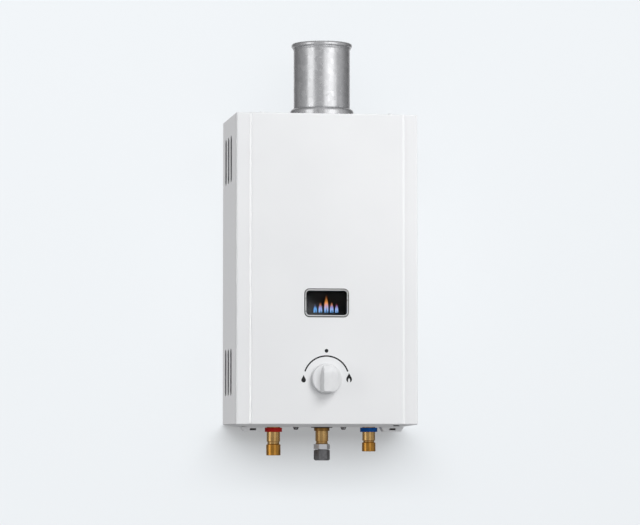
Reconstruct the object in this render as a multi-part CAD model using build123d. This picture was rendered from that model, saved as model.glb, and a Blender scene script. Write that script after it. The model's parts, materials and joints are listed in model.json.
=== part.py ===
from build123d import *
import math
import os

os.makedirs("parts", exist_ok=True)

# Wall-hung gas water heater, in millimetres.
# The origin lies on the wall plane, in the middle of the four wall slots.
# X runs to the right as seen from the front, Y runs into the wall, Z runs up.

# Casing
case_width = 290.0
case_height = 491.0
case_depth = 170.0
panel_rise = 3.0
flank_width = 21.0
cover_sheet = 1.0
frame_sheet = 1.2
return_width = 14.0
frame_flange = 18.0
fit_gap = 0.4
corner_radius = 3.0
edge_radius = 1.6
pan_drop = 3.9
pan_slope_side = 23.5
pan_slope_front = 19.0
pan_slope_back = 6.0

# Axes of the flue, the pipes and the front controls
service_setback = 57.0
pipe_spacing = 76.7
water_shift = -1.0
dial_x = -1.8
window_lift = 191.2
valve_gap = 17.8

# Wall slots
wall_slot_inset = 35.0
wall_slot_margin = 41.5
wall_slot_radius = 3.5
wall_slot_run = 12.0

# Flue
flue_radius = 45.0
flue_sheet = 0.8
flue_height = 118.5
flue_bead = 3.6
flue_bead_height = 9.8
flue_foot = 5.8
flue_foot_height = 9.0
flue_cone_height = 8.0
flue_rim = 1.2
flue_cover_gap = 3.0

# Side vents
vent_length = 75.0
vent_width = 18.0
vent_pitch = 34.0
vent_first = 37.5
vent_count = 3
vent_upper_drop = 68.5
vent_lower_lift = 83.0

# Air scoops under the pan
scoop_pipe_gap = 2.4
scoop_side_gap = 15.0
scoop_taper = 4.0
scoop_length = 30.0
scoop_depth = 7.2
scoop_slot_width = 10.0
scoop_slot_height = 3.0
drain_height = 1.5

# Window
bezel_width = 71.0
bezel_height = 45.4
bezel_rise = 1.6
bezel_radius = 8.0
sight_width = 63.4
sight_height = 36.8
sight_radius = 4.5
lip_wall = 1.3
gasket_thick = 1.0
glass_thick = 3.0
glass_margin = 5.0
clamp_sheet = 1.0
clamp_tab = 15.0
clamp_margin = 5.0

# Combustion chamber, burner and heat exchanger
chamber_side_gap = 45.0
chamber_front_gap = 14.0
chamber_back = 46.0
chamber_sheet = 1.0
flame_drop = 18.2
flame_rise = 5.5
bar_count = 10
bar_gap = 7.2
bar_height = 39.5
bar_wall = 1.0
bar_fit = 0.1
burner_margin = 14.0
port_count = 9
port_length = 7.0
port_width = 2.0
throat_radius = 5.5
injector_radius = 2.5
tube_radius = 7.0
tube_bore = 6.0
tube_margin = 13.0
tube_drop = 24.0
fin_count = 13
fin_margin = 9.0
fin_edge_gap = 6.0
fin_sheet = 0.8
fin_height = 44.0
hood_skirt = 24.0
hood_rise = 69.0
hood_throat = 96.0
hood_neck = 39.5
baffle_half = 18.0
bracket_inset = 30.0
bracket_drop = 32.0
bracket_lift = 48.0
bracket_half = 10.0
bracket_tab = 8.0
bracket_sheet = 1.5
pipe_side_gap = 22.0
riser_bend = 10.0
riser_gap = 4.0
hot_bend = 12.0
manifold_inset = 12.0
manifold_gap = 4.5
manifold_depth = 10.0
manifold_height = 12.0
sensor_offset = 19.0
electrode_offset = 6.0
probe_height = 12.5
probe_radius = 3.0
probe_flange = 7.0
probe_reach = 12.0
probe_tip = 30.0
thermostat_radius = 8.0
thermostat_body = 7.0
thermostat_reach = 14.0
thermostat_setback = 25.0
thermostat_drop = 48.0

# Gas and water valves
valve_half = 24.0
valve_left = 32.0
valve_right = 40.0
plug_radius = 9.0
plug_way = 4.0
spindle_radius = 4.0
rod_radius = 2.0
rod_travel = 4.0
chamber_bore = 10.0
disc_radius = 8.0
seat_thick = 3.0
seat_inset = 16.0
spacer_length = 14.0
spacer_wall = 4.0
water_half = 12.0
water_flange_thick = 6.0
run_gap = 0.05
free_gap = 0.4
water_radius = 31.0
membrane = 1.2
water_cavity = 20.0
boss_reach = 6.0
boss_half = 9.0
plug_cap_side = 30.0
plug_cap_thick = 3.0
strap_setback = 22.0
strap_half = 8.0
switch_height = 12.0
switch_blade = 7.0
switch_half = 10.0
knob_radius = 23.6
knob_skirt = 8.0
knob_ridge = 11.5
ridge_base = 17.5
ridge_top = 12.0

# Pipe ends under the pan
water_bore = 6.0
ring_radius = 13.9
ring_height = 6.9
ring_gap = 1.0
end_slope = 1.2
end_chamfer = 1.0
hot_neck_radius = 10.8
hot_groove_radius = 9.6
hot_spigot_radius = 11.5
hot_neck = 15.0
hot_groove = 4.0
hot_spigot = 18.2
hot_socket = 12.0
hot_rise = 18.0
cold_neck_radius = 10.4
cold_groove_radius = 8.9
cold_spigot_radius = 10.9
cold_neck = 13.4
cold_groove = 2.6
cold_spigot = 15.0
gas_collar_radius = 12.5
gas_neck_radius = 10.4
gas_groove_radius = 9.2
gas_collar = 6.3
gas_neck = 16.0
gas_ring = 4.8
locknut_flats = 27.0
locknut_height = 4.0
hex_flats = 22.7
adapter_height = 8.4
nut_height = 17.2
nut_bore = 7.5
nut_collar = 4.6
nut_relief = 8.4
nut_turn = 12.0
tail_radius = 6.2
lip_radius = 7.1
lip_height = 2.0

# Screws
screw_radius = 1.9
cover_head_radius = 3.6
cover_head_height = 2.2
cover_screw_reach = 6.0
pan_screw_radius = 2.0
pan_screw_reach = 6.0
pan_head_radius = 4.9
pan_head_height = 4.6
pan_head_round = 2.4
water_screw_inset = 4.5
water_head_radius = 3.4
water_head_height = 3.0

# Batteries
cell_radius = 17.1
cell_length = 61.5
cell_spacing = 35.0
cell_depth = 31.0
box_wall = 2.0

# Spark unit
module_width = 46.0
module_height = 60.0
module_reach = 30.0
module_inset = 36.0
module_lift = 95.5
module_radius = 3.0
lead_depth = 16.0
lead_radius = 1.8
lead_bend = 6.0
lead_boss = 4.0
lead_boss_height = 8.0

# Places worked out from the driving sizes
half_w = case_width / 2
half_h = case_height / 2
front_y = -case_depth
panel_y = front_y - panel_rise
panel_back = panel_y + cover_sheet
axis_y = front_y + service_setback
window_z = -half_h + window_lift
roof_z = half_h - cover_sheet
floor_z = -half_h - pan_drop
floor_top = floor_z + cover_sheet
inner_w = half_w - cover_sheet
frame_w = inner_w - fit_gap
hot_x = water_shift - pipe_spacing
cold_x = water_shift + pipe_spacing
wall_slot_x = half_w - wall_slot_inset
wall_slot_z = half_h - wall_slot_margin
vent_upper_z = half_h - vent_upper_drop
vent_lower_z = -half_h + vent_lower_lift
scoop_inner = max(cold_x, -hot_x) + ring_radius + scoop_pipe_gap
scoop_outer = half_w - scoop_side_gap
scoop_x = (scoop_inner + scoop_outer) / 2
scoop_top = scoop_outer - scoop_inner
scoop_bottom = scoop_top - 2 * scoop_taper
chamber_width = case_width - 2 * chamber_side_gap
half_chamber = chamber_width / 2
chamber_y0 = front_y + chamber_front_gap
chamber_y1 = -chamber_back
chamber_mid = (chamber_y0 + chamber_y1) / 2
chamber_top = roof_z - hood_neck - hood_rise - hood_skirt
flame_level = window_z - flame_drop
chamber_bottom = flame_level - flame_rise
bar_pitch = (chamber_width - 2 * burner_margin) / bar_count
bar_width = bar_pitch - bar_gap
tube_pitch = (chamber_y1 - chamber_y0 - 2 * tube_margin) / 3
tube_level = chamber_top - tube_drop
fin_pitch = (chamber_width - 2 * fin_margin) / fin_count
bar_bottom = flame_level - bar_height
frame_low = bar_bottom - frame_sheet
knob_z = frame_low - valve_gap - switch_height - switch_blade - valve_half
throat_z = bar_bottom + throat_radius + 2.5
manifold_back = chamber_y0 - manifold_gap
manifold_front = manifold_back - manifold_depth
manifold_z0 = throat_z - manifold_height / 2
manifold_z1 = throat_z + manifold_height / 2
valve_z0 = knob_z - valve_half
valve_z1 = knob_z + valve_half
valve_y0 = axis_y - valve_half
valve_y1 = axis_y + valve_half
seat_x = valve_right - seat_inset
spring_x = dial_x + plug_radius + 5.0
disc_x1 = seat_x - free_gap
disc_x0 = disc_x1 - 2.6
spacer_x = valve_right + spacer_length
membrane_x = spacer_x + water_half
cover_x = membrane_x + membrane
plate_x1 = membrane_x - 0.3
plate_x0 = plate_x1 - 1.3
cavity_x = plate_x0 - rod_travel - free_gap
outlet_x = seat_x + seat_thick + 6.5
boss_bottom = knob_z - water_radius - boss_reach
boss_top = knob_z + water_radius + boss_reach


def span(x0, x1, y0, y1, z0, z1):
    """Box between two corners."""
    block = Box(x1 - x0, y1 - y0, z1 - z0)
    return Pos((x0 + x1) / 2, (y0 + y1) / 2, (z0 + z1) / 2) * block


def rod_x(x0, x1, y, z, radius):
    """Cylinder along X."""
    return Pos((x0 + x1) / 2, y, z) * Rot(0, 90, 0) * Cylinder(radius, x1 - x0)


def rod_y(x, y0, y1, z, radius):
    """Cylinder along Y."""
    return Pos(x, (y0 + y1) / 2, z) * Rot(90, 0, 0) * Cylinder(radius, y1 - y0)


def rod_z(x, y, z0, z1, radius):
    """Cylinder along Z."""
    return Pos(x, y, (z0 + z1) / 2) * Cylinder(radius, z1 - z0)


def hex_z(x, y, z0, z1, flats, turn):
    """Hexagonal prism along Z, given its width across flats."""
    outline = RegularPolygon(flats / 2, 6, major_radius=False)
    return Pos(x, y, z0) * Rot(0, 0, turn) * extrude(outline, z1 - z0)


def plate_y(x, z, width, height, radius, y0, y1):
    """Plate with rounded corners that faces the front."""
    outline = RectangleRounded(width, height, radius)
    return Pos(x, y1, z) * Rot(90, 0, 0) * extrude(outline, y1 - y0)


def rounded_edges(points, radii, closed):
    """Straight runs and tangent arcs through points, with one radius for each corner."""
    corners = [Vector(*point) for point in points]
    count = len(corners)
    starts, ends, arcs = [], [], []
    for index, corner in enumerate(corners):
        inside = closed or 0 < index < count - 1
        if not inside or radii[index] == 0:
            starts.append(corner)
            ends.append(corner)
            arcs.append(None)
            continue
        before = (corners[index - 1] - corner).normalized()
        after = (corners[(index + 1) % count] - corner).normalized()
        half = math.acos(max(-1.0, min(1.0, before.dot(after)))) / 2
        reach = radii[index] / math.tan(half)
        middle = (before + after).normalized()
        depth = radii[index] / math.sin(half) - radii[index]
        starts.append(corner + before * reach)
        ends.append(corner + after * reach)
        arcs.append(corner + middle * depth)
    edges = []
    for index in range(count):
        if arcs[index] is not None:
            edges.append(ThreePointArc(starts[index], arcs[index], ends[index]))
        if closed or index < count - 1:
            target = starts[(index + 1) % count]
            if (target - ends[index]).length > 1e-6:
                edges.append(Line(ends[index], target))
    return edges


def bent_tube(points, bend, outer, inner=0.0):
    """Round pipe along straight runs with bends of one radius."""
    path = Wire(rounded_edges(points, [bend] * len(points), False))
    start = Plane(origin=path @ 0, z_dir=path % 0)
    skin = sweep(start * Circle(outer), path=path)
    if inner == 0.0:
        return skin
    return skin - sweep(start * Circle(inner), path=path)


def frustum(low, high, z0, z1):
    """Tapered block between two rectangles, each given as x0, x1, y0, y1."""
    faces = []
    for (x0, x1, y0, y1), z in ((low, z0), (high, z1)):
        middle = Pos((x0 + x1) / 2, (y0 + y1) / 2, z)
        faces.append(middle * Rectangle(x1 - x0, y1 - y0))
    return loft(faces, ruled=True)


def cover_outline(inset):
    """Plan of the front cover, with its raised middle panel, drawn in by a sheet thickness."""
    bevel = panel_rise * 1.2
    shift = inset * math.tan(math.atan2(panel_rise, bevel) / 2)
    side = half_w - inset
    foot = half_w - flank_width - shift
    crest = foot - bevel
    back = 0.0 if inset == 0 else frame_flange
    left = [
        (-side, back),
        (-side, front_y + inset),
        (-foot, front_y + inset),
        (-crest, panel_y + inset),
    ]
    right = [(-x, y) for x, y in reversed(left)]
    bends = [0, corner_radius - inset, 1.5 + inset, 2.6 - inset]
    return make_face(rounded_edges(left + right, bends + bends[::-1], True))


def vent_slots():
    """Cutters for the vertical air slots in both sides of the cover."""
    cutters = []
    for side in (-half_w, half_w):
        for level in (vent_upper_z, vent_lower_z):
            for index in range(vent_count):
                y = -vent_first - index * vent_pitch
                slot = extrude(SlotOverall(vent_length, vent_width), 6.0)
                cutters.append(Pos(side - 3.0, y, level) * Rot(0, 90, 0) * slot)
    return cutters


def make_front_cover():
    """Folded sheet shell, open at the back, with returns at the top and the bottom."""
    shell = Pos(0, 0, -half_h) * extrude(cover_outline(0.0), case_height)
    rims = shell.edges().filter_by(lambda e: abs(abs(e.center().Z) - half_h) < 1e-6)
    rims = rims.filter_by(lambda e: e.center().Y < front_y / 2 - 10 or abs(e.center().X) > half_w - 1)
    rims = rims.filter_by(lambda e: e.center().Y < -1)
    shell = fillet(rims, edge_radius)
    hollow = extrude(cover_outline(cover_sheet), case_height - 2 * cover_sheet)
    shell -= Pos(0, 0, -half_h + cover_sheet) * hollow
    opening = inner_w - return_width
    shell -= span(-opening, opening, front_y + return_width, 1, -half_h - 1, half_h + 1)
    shell -= span(-inner_w, inner_w, -frame_flange - 1, 1, -half_h - 1, half_h + 1)
    shell -= rod_z(0, axis_y, half_h - 5, half_h + 5, flue_radius + flue_foot + flue_cover_gap)
    for cutter in vent_slots():
        shell -= cutter
    lip = 2 * lip_wall + 2 * run_gap
    shell -= plate_y(
        dial_x, window_z, sight_width + lip, sight_height + lip, sight_radius + 1, panel_y - 1, panel_back + 1
    )
    shell -= rod_y(dial_x, panel_y - 1, panel_back + 1, knob_z, spindle_radius + 3.0)
    for x in cover_screw_places():
        shell -= rod_z(x, cover_screw_y, roof_z - 1, half_h + 1, screw_radius + run_gap)
    return shell


cover_screw_y = front_y + return_width / 2


def cover_screw_places():
    """Places of the two screws on top of the cover."""
    reach = half_w - 3 * return_width
    return (-reach, reach)


def make_cover_screws():
    """Screws that hold the cover to the top plate."""
    screws = []
    for x in cover_screw_places():
        head = rod_z(x, cover_screw_y, half_h, half_h + cover_head_height, cover_head_radius)
        head = fillet(head.edges().group_by(Axis.Z)[-1], cover_head_radius / 3)
        screws.append(head + rod_z(x, cover_screw_y, roof_z - cover_screw_reach, half_h, screw_radius))
    return Compound(children=screws)


def make_back_plate():
    """Shallow sheet tray that hangs on the wall."""
    tray = span(-frame_w, frame_w, -frame_flange, 0, -half_h, roof_z - frame_sheet)
    tray -= span(
        -frame_w + frame_sheet,
        frame_w - frame_sheet,
        -frame_flange - 1,
        -frame_sheet,
        -half_h + frame_sheet,
        half_h,
    )
    notch = box_half + box_wall + fit_gap
    tray -= span(
        -notch,
        notch,
        -frame_flange - 1,
        box_y1 + box_wall + fit_gap,
        -half_h - 1,
        -half_h + frame_sheet + 1,
    )
    for x in (-wall_slot_x, wall_slot_x):
        for z in (-wall_slot_z, wall_slot_z):
            slot = SlotCenterToCenter(wall_slot_run, 2 * wall_slot_radius)
            tray -= Pos(x, 1, z) * Rot(90, 0, 0) * extrude(slot, frame_sheet + 2)
    return tray


def make_top_plate():
    """Sheet under the cover's top return, with the flue opening."""
    front = front_y + cover_sheet + fit_gap
    plate = span(-frame_w, frame_w, front, 0, roof_z - frame_sheet, roof_z)
    plate = fillet(plate.edges().filter_by(Axis.Z).group_by(Axis.Y)[0], corner_radius)
    plate -= rod_z(0, axis_y, roof_z - 5, roof_z + 5, flue_radius - flue_sheet)
    for x in cover_screw_places():
        plate -= rod_z(x, cover_screw_y, roof_z - 5, roof_z + 5, screw_radius + run_gap)
    return plate


def pan_block(lift):
    """Solid dish of the bottom pan, raised by lift."""
    rim = (-half_w, half_w, front_y, 0)
    floor = (
        -half_w + pan_slope_side,
        half_w - pan_slope_side,
        front_y + pan_slope_front,
        -pan_slope_back,
    )
    return Pos(0, 0, lift) * frustum(floor, rim, floor_z, -half_h)


def scoop_block(x, inset):
    """Solid of one air scoop, drawn in by a sheet thickness."""
    top = scoop_top / 2 - inset
    low = scoop_bottom / 2 - inset
    run = scoop_length / 2 - inset
    low_run = run - (top - low)
    upper = (x - top, x + top, axis_y - run, axis_y + run)
    lower = (x - low, x + low, axis_y - low_run, axis_y + low_run)
    return frustum(lower, upper, floor_z - scoop_depth + inset, floor_z + inset)


bracket_screw_x = pipe_spacing / 2
bracket_screw_y = axis_y + strap_setback
door_gap = 0.4
box_half = cell_spacing / 2 + cell_radius + 1.4
box_y0 = -cell_depth - cell_radius - 2.0
box_y1 = -cell_depth + cell_radius + 2.0


pipe_necks = [(hot_x, hot_neck_radius), (0, gas_neck_radius), (cold_x, cold_neck_radius)]


def make_bottom_pan():
    """Dished sheet floor with its pipe holes, air scoops, battery opening and front drain slot."""
    pan = pan_block(0) - pan_block(cover_sheet)
    for x in (-scoop_x, scoop_x):
        pan += scoop_block(x, 0)
        pan -= scoop_block(x, cover_sheet)
        slot_z = floor_z - scoop_depth / 2
        pan -= span(
            x - scoop_slot_width / 2,
            x + scoop_slot_width / 2,
            axis_y - scoop_length,
            axis_y,
            slot_z - scoop_slot_height / 2,
            slot_z + scoop_slot_height / 2,
        )
    slope_z = -half_h - pan_drop / 2
    pan -= span(
        scoop_x - scoop_slot_width / 2,
        scoop_x + scoop_slot_width / 2,
        front_y,
        front_y + pan_slope_front,
        slope_z - drain_height / 2,
        slope_z + drain_height / 2,
    )
    for x, radius in pipe_necks:
        pan -= rod_z(x, axis_y, floor_z - 1, floor_top + 1, radius + run_gap)
    for x in (-bracket_screw_x, bracket_screw_x):
        pan -= rod_z(x, bracket_screw_y, floor_z - 1, floor_top + 1, pan_screw_radius + run_gap)
    pan -= span(-box_half, box_half, box_y0, box_y1, floor_z - 1, floor_top + 1)
    return pan


def make_bottom_screws():
    """Pan-head screws that hold the valve bracket to the pan."""
    screws = []
    for x in (-bracket_screw_x, bracket_screw_x):
        head = rod_z(x, bracket_screw_y, floor_z - pan_head_height, floor_z, pan_head_radius)
        head = fillet(head.edges().group_by(Axis.Z)[0], pan_head_round)
        shank_top = floor_top + pan_screw_reach
        screws.append(head + rod_z(x, bracket_screw_y, floor_z, shank_top, pan_screw_radius))
    return Compound(children=screws)


def make_flue_collar():
    """Spun tube with a beaded rim and a wider foot."""
    top = roof_z + flue_height
    foot = flue_radius + flue_foot
    step = roof_z + flue_foot_height
    neck = step + flue_cone_height
    bore = flue_radius - flue_sheet
    bead = top - flue_bead_height
    edges = [
        Line((bore, 0, top), (bore, 0, neck)),
        Line((bore, 0, neck), (foot - flue_sheet, 0, step)),
        Line((foot - flue_sheet, 0, step), (foot - flue_sheet, 0, roof_z)),
        Line((foot - flue_sheet, 0, roof_z), (foot + flue_rim, 0, roof_z)),
        Line((foot + flue_rim, 0, roof_z), (foot + flue_rim, 0, roof_z + flue_sheet)),
        Line((foot + flue_rim, 0, roof_z + flue_sheet), (foot, 0, roof_z + flue_sheet)),
        Line((foot, 0, roof_z + flue_sheet), (foot, 0, step)),
        ThreePointArc(
            (foot, 0, step),
            (flue_radius + 0.34 * flue_foot, 0, step + 0.42 * flue_cone_height),
            (flue_radius, 0, neck),
        ),
        Line((flue_radius, 0, neck), (flue_radius, 0, bead)),
        ThreePointArc(
            (flue_radius, 0, bead),
            (flue_radius + flue_bead, 0, (top + bead) / 2),
            (flue_radius, 0, top),
        ),
        Line((flue_radius, 0, top), (bore, 0, top)),
    ]
    return Pos(0, axis_y, 0) * revolve(make_face(edges), Axis.Z)


skirt_top = chamber_top + hood_skirt
throat_top = skirt_top + hood_rise


def hood_plan(grow):
    """Lower and upper outlines of the flue hood, drawn in by a sheet thickness."""
    low = (-half_chamber + grow, half_chamber - grow, chamber_y0 + grow, chamber_y1 - grow)
    half = hood_throat / 2 - grow
    return low, (-half, half, axis_y - half, axis_y + half)


def make_flue_hood():
    """Folded hood that gathers the flue gas into a round neck."""
    low, high = hood_plan(0)
    hood = span(*low, chamber_top, skirt_top) + frustum(low, high, skirt_top, throat_top)
    low, high = hood_plan(chamber_sheet)
    inside = span(*low, chamber_top - 1, skirt_top)
    inside += frustum(low, high, skirt_top, throat_top - chamber_sheet)
    neck = flue_radius - flue_sheet - run_gap
    hood += rod_z(0, axis_y, throat_top - 0.5, roof_z, neck)
    hood -= inside
    hood -= rod_z(0, axis_y, throat_top - 5, roof_z + 1, neck - chamber_sheet)
    return hood


def make_draught_baffle():
    """Plate across the hood that spreads the flue gas."""
    level = skirt_top + hood_rise / 2
    share = (level + chamber_sheet - skirt_top) / (hood_rise - chamber_sheet)
    low, high = hood_plan(chamber_sheet)
    reach = low[1] + (high[1] - low[1]) * share - 0.2
    return span(-reach, reach, axis_y - baffle_half, axis_y + baffle_half, level, level + chamber_sheet)


tube_rows = [chamber_mid + tube_pitch, chamber_mid, chamber_mid - tube_pitch]
sensor_z = flame_level + probe_height
electrode_y = chamber_mid + electrode_offset
sensor_y = chamber_mid - sensor_offset


def make_combustion_chamber():
    """Sheet box, open at the top and the bottom, with a sight opening."""
    box = span(-half_chamber, half_chamber, chamber_y0, chamber_y1, chamber_bottom, chamber_top)
    skin = chamber_sheet
    box -= span(
        -half_chamber + skin,
        half_chamber - skin,
        chamber_y0 + skin,
        chamber_y1 - skin,
        chamber_bottom - 1,
        chamber_top + 1,
    )
    sight = (sight_width + 6, sight_height + 4, sight_radius)
    box -= plate_y(dial_x, window_z, *sight, chamber_y0 - 1, chamber_y0 + skin + 1)
    for y in tube_rows:
        box -= rod_x(-half_chamber - 1, half_chamber + 1, y, tube_level, tube_radius + run_gap)
    box -= rod_x(-half_chamber - 1, 0, electrode_y, sensor_z, probe_radius + run_gap)
    box -= rod_x(0, half_chamber + 1, sensor_y, sensor_z, probe_radius + run_gap)
    return box


def make_chamber_brackets():
    """Four folded arms between the chamber and the back plate."""
    arms = []
    reach = half_chamber - bracket_inset
    half = bracket_sheet / 2
    wall = -frame_sheet
    for x in (-reach, reach):
        left = x - bracket_half
        right = x + bracket_half
        for z in (chamber_top - bracket_drop, chamber_bottom + bracket_lift):
            arm = span(left, right, chamber_y1, wall, z - half, z + half)
            low = z - bracket_tab
            high = z + bracket_tab
            arm += span(left, right, chamber_y1, chamber_y1 + bracket_sheet, low, high)
            arm += span(left, right, wall - bracket_sheet, wall, low, high)
            arms.append(arm)
    return Compound(children=arms)


def make_hx_fins():
    """Stack of fins on the heat exchanger tubes."""
    fins = []
    low = tube_level - fin_height / 2
    for index in range(fin_count):
        x = (index - (fin_count - 1) / 2) * fin_pitch
        fin = span(
            x - fin_sheet / 2,
            x + fin_sheet / 2,
            chamber_y0 + fin_edge_gap,
            chamber_y1 - fin_edge_gap,
            low,
            low + fin_height,
        )
        for y in tube_rows:
            fin -= rod_x(x - 1, x + 1, y, tube_level, tube_radius + run_gap)
        fins.append(fin)
    return Compound(children=fins)


tube_end = half_chamber + 10.0


def make_hx_tubes():
    """One tube that crosses the chamber three times."""
    turn = half_chamber + 4.0 + tube_pitch / 2
    back, middle, front = tube_rows
    route = [
        (tube_end, back, tube_level),
        (-turn, back, tube_level),
        (-turn, middle, tube_level),
        (turn, middle, tube_level),
        (turn, front, tube_level),
        (-tube_end, front, tube_level),
    ]
    return bent_tube(route, tube_pitch / 2, tube_radius, tube_bore)


def make_hx_sleeves():
    """Solder sleeves over the two tube joints."""
    sleeves = []
    for side, y in ((1, tube_rows[0]), (-1, tube_rows[2])):
        inner, outer = sorted((side * (tube_end - 6), side * (tube_end + 2)))
        sleeve = rod_x(inner, outer, y, tube_level, tube_radius + 1.4)
        sleeves.append(sleeve - rod_x(inner - 1, outer + 1, y, tube_level, tube_radius + run_gap))
    return Compound(children=sleeves)


def bar_places():
    """Places of the burner bars across the chamber."""
    return [(index - (bar_count - 1) / 2) * bar_pitch for index in range(bar_count)]


def make_burner_frame():
    """Open frame that carries the burner bars and the chamber."""
    skin = frame_sheet
    frame = span(-half_chamber, half_chamber, chamber_y0, chamber_y1, frame_low, chamber_bottom)
    frame += span(
        -half_chamber - 6,
        half_chamber + 6,
        chamber_y0 - 3,
        chamber_y1 + 6,
        chamber_bottom - skin,
        chamber_bottom,
    )
    frame -= span(
        -half_chamber + skin,
        half_chamber - skin,
        chamber_y0 + skin,
        chamber_y1 - skin,
        bar_bottom,
        chamber_bottom + 1,
    )
    frame -= span(
        -half_chamber + skin,
        half_chamber - skin,
        chamber_y0 + 6,
        chamber_y1 - 6,
        frame_low - 1,
        bar_bottom + 1,
    )
    for x in bar_places():
        frame -= rod_y(x, chamber_y0 - 1, chamber_y0 + skin + 1, throat_z, throat_radius + 0.5)
    return frame


def make_burner_bars():
    """Hollow sheet bars with a row of cross slots for the flames and a gas throat at the front."""
    bars = []
    y0 = chamber_y0 + frame_sheet + bar_fit
    y1 = chamber_y1 - frame_sheet - bar_fit
    half = bar_width / 2
    step = (y1 - y0) / port_count
    for x in bar_places():
        bar = span(x - half, x + half, y0, y1, bar_bottom, flame_level)
        bar -= span(
            x - half + bar_wall,
            x + half - bar_wall,
            y0 + bar_wall,
            y1 - bar_wall,
            bar_bottom + bar_wall,
            flame_level - bar_wall,
        )
        bar -= rod_y(x, y0 - 1, y0 + bar_wall + 1, throat_z, throat_radius - bar_wall - 0.6)
        for index in range(port_count):
            y = y0 + (index + 0.5) * step
            bar -= span(
                x - port_length / 2,
                x + port_length / 2,
                y - port_width / 2,
                y + port_width / 2,
                flame_level - 2,
                flame_level + 1,
            )
        bars.append(bar)
    return Compound(children=bars)


manifold_half = half_chamber - manifold_inset
feed_radius = 5.0
feed_bore = 4.0
feed_y = (manifold_front + manifold_back) / 2


def make_gas_manifold():
    """Closed box tube in front of the burner, with an ear at each end."""
    tube = span(-manifold_half, manifold_half, manifold_front, manifold_back, manifold_z0, manifold_z1)
    tube -= span(
        -manifold_half + 2,
        manifold_half - 2,
        manifold_front + 1.5,
        manifold_back - 1.5,
        manifold_z0 + 1.5,
        manifold_z1 - 1.5,
    )
    for side in (-1, 1):
        inner, outer = sorted((side * manifold_half, side * (manifold_half + 2)))
        tube += span(inner, outer, manifold_front, chamber_y0, manifold_z0, manifold_z1)
    for x in bar_places():
        tube -= rod_y(x, manifold_back - 2, manifold_back + 1, throat_z, 1.0)
    tube -= rod_z(outlet_x, feed_y, manifold_z0 - 1, manifold_z0 + 2, feed_bore)
    return tube


def make_injectors():
    """Brass jets between the manifold and the bar throats."""
    jets = []
    for x in bar_places():
        jet = rod_y(x, manifold_back, chamber_y0 + 0.5, throat_z, injector_radius)
        jets.append(jet - rod_y(x, manifold_back - 1, chamber_y0 + 1, throat_z, 0.6))
    return Compound(children=jets)


def make_gas_feed_pipe():
    """Pipe from the gas valve up to the manifold."""
    bend = 9.0
    level = (valve_z1 + manifold_z0) / 2 - 2.0
    route = [
        (outlet_x, axis_y, valve_z1),
        (outlet_x, axis_y, level),
        (outlet_x, feed_y, level),
        (outlet_x, feed_y, manifold_z0),
    ]
    return bent_tube(route, bend, feed_radius, feed_bore)


plug_end = axis_y + 5.0


def make_gas_valve_body():
    """Cast block with the plug bore, the valve chamber and the gas ways."""
    body = span(-valve_left, valve_right, valve_y0, valve_y1, valve_z0, valve_z1)
    body = fillet(body.edges().filter_by(Axis.X), 4.0)
    body -= rod_y(dial_x, valve_y0 - 1, plug_end + 1, knob_z, plug_radius + run_gap)
    body -= rod_z(0, axis_y, valve_z0 - 1, knob_z, water_bore)
    body -= rod_x(dial_x, spring_x + 1, axis_y, knob_z, plug_way)
    body -= rod_x(spring_x, valve_right + 1, axis_y, knob_z, chamber_bore)
    body -= rod_z(outlet_x, axis_y, knob_z, valve_z1 + 1, feed_bore)
    return body


def make_valve_seat():
    """Ring pressed into the valve chamber."""
    ring = rod_x(seat_x, seat_x + seat_thick, axis_y, knob_z, chamber_bore - 0.02)
    return ring - rod_x(seat_x - 1, seat_x + seat_thick + 1, axis_y, knob_z, 5.5)


def make_valve_spacer():
    """Yoke between the gas valve and the water valve, with a gland for the rod."""
    block = span(valve_right, spacer_x, valve_y0, valve_y1, valve_z0, valve_z1)
    wall = spacer_wall
    block -= span(
        valve_right + wall, spacer_x - wall, valve_y0 + wall, valve_y1 - wall, valve_z0 - 1, valve_z1 + 1
    )
    return block - rod_x(valve_right - 1, spacer_x + 1, axis_y, knob_z, rod_radius + run_gap)


def make_valve_bracket():
    """Hat strap under the gas valve, screwed to the pan."""
    y0 = bracket_screw_y - strap_half
    y1 = bracket_screw_y + strap_half
    leg = bracket_screw_x - strap_half
    foot = bracket_screw_x + strap_half
    skin = frame_sheet
    strap = span(-leg, leg, y0, y1, valve_z0 - skin, valve_z0)
    for side in (-1, 1):
        inner, outer = sorted((side * (leg - skin), side * leg))
        strap += span(inner, outer, y0, y1, floor_top, valve_z0)
        inner, outer = sorted((side * (leg - skin), side * foot))
        strap += span(inner, outer, y0, y1, floor_top, floor_top + skin)
        strap -= rod_z(
            side * bracket_screw_x, bracket_screw_y, floor_top - 1, floor_top + 3, pan_screw_radius + run_gap
        )
    return strap


def make_gas_plug():
    """Cylindrical cock plug with a cross way."""
    plug = rod_y(dial_x, valve_y0 + 1, plug_end, knob_z, plug_radius)
    reach = plug_radius + 3
    plug -= rod_z(dial_x, axis_y, knob_z - reach, knob_z, plug_way)
    plug -= rod_x(dial_x, dial_x + reach, axis_y, knob_z, 0.9 * plug_way)
    return plug


def make_plug_cap():
    """Plate on the valve front that keeps the plug in."""
    front = valve_y0 - plug_cap_thick
    cap = plate_y(dial_x, knob_z, plug_cap_side, plug_cap_side, spindle_radius, front, valve_y0)
    return cap - rod_y(dial_x, front - 1, valve_y0 + 1, knob_z, spindle_radius + run_gap)


knob_back = panel_y - 0.6
knob_mid = knob_back - knob_skirt
knob_front = knob_mid - knob_ridge
spindle_end = knob_mid - 2.0


def make_knob_spindle():
    """Shaft from the plug to the knob, with a flat at its front end."""
    shaft = rod_y(dial_x, spindle_end, valve_y0 + 1, knob_z, spindle_radius)
    shaft -= span(
        dial_x + 2.6, dial_x + 6, spindle_end - 1, panel_y - 1, knob_z - 6, knob_z + 6
    )
    return shaft


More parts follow.
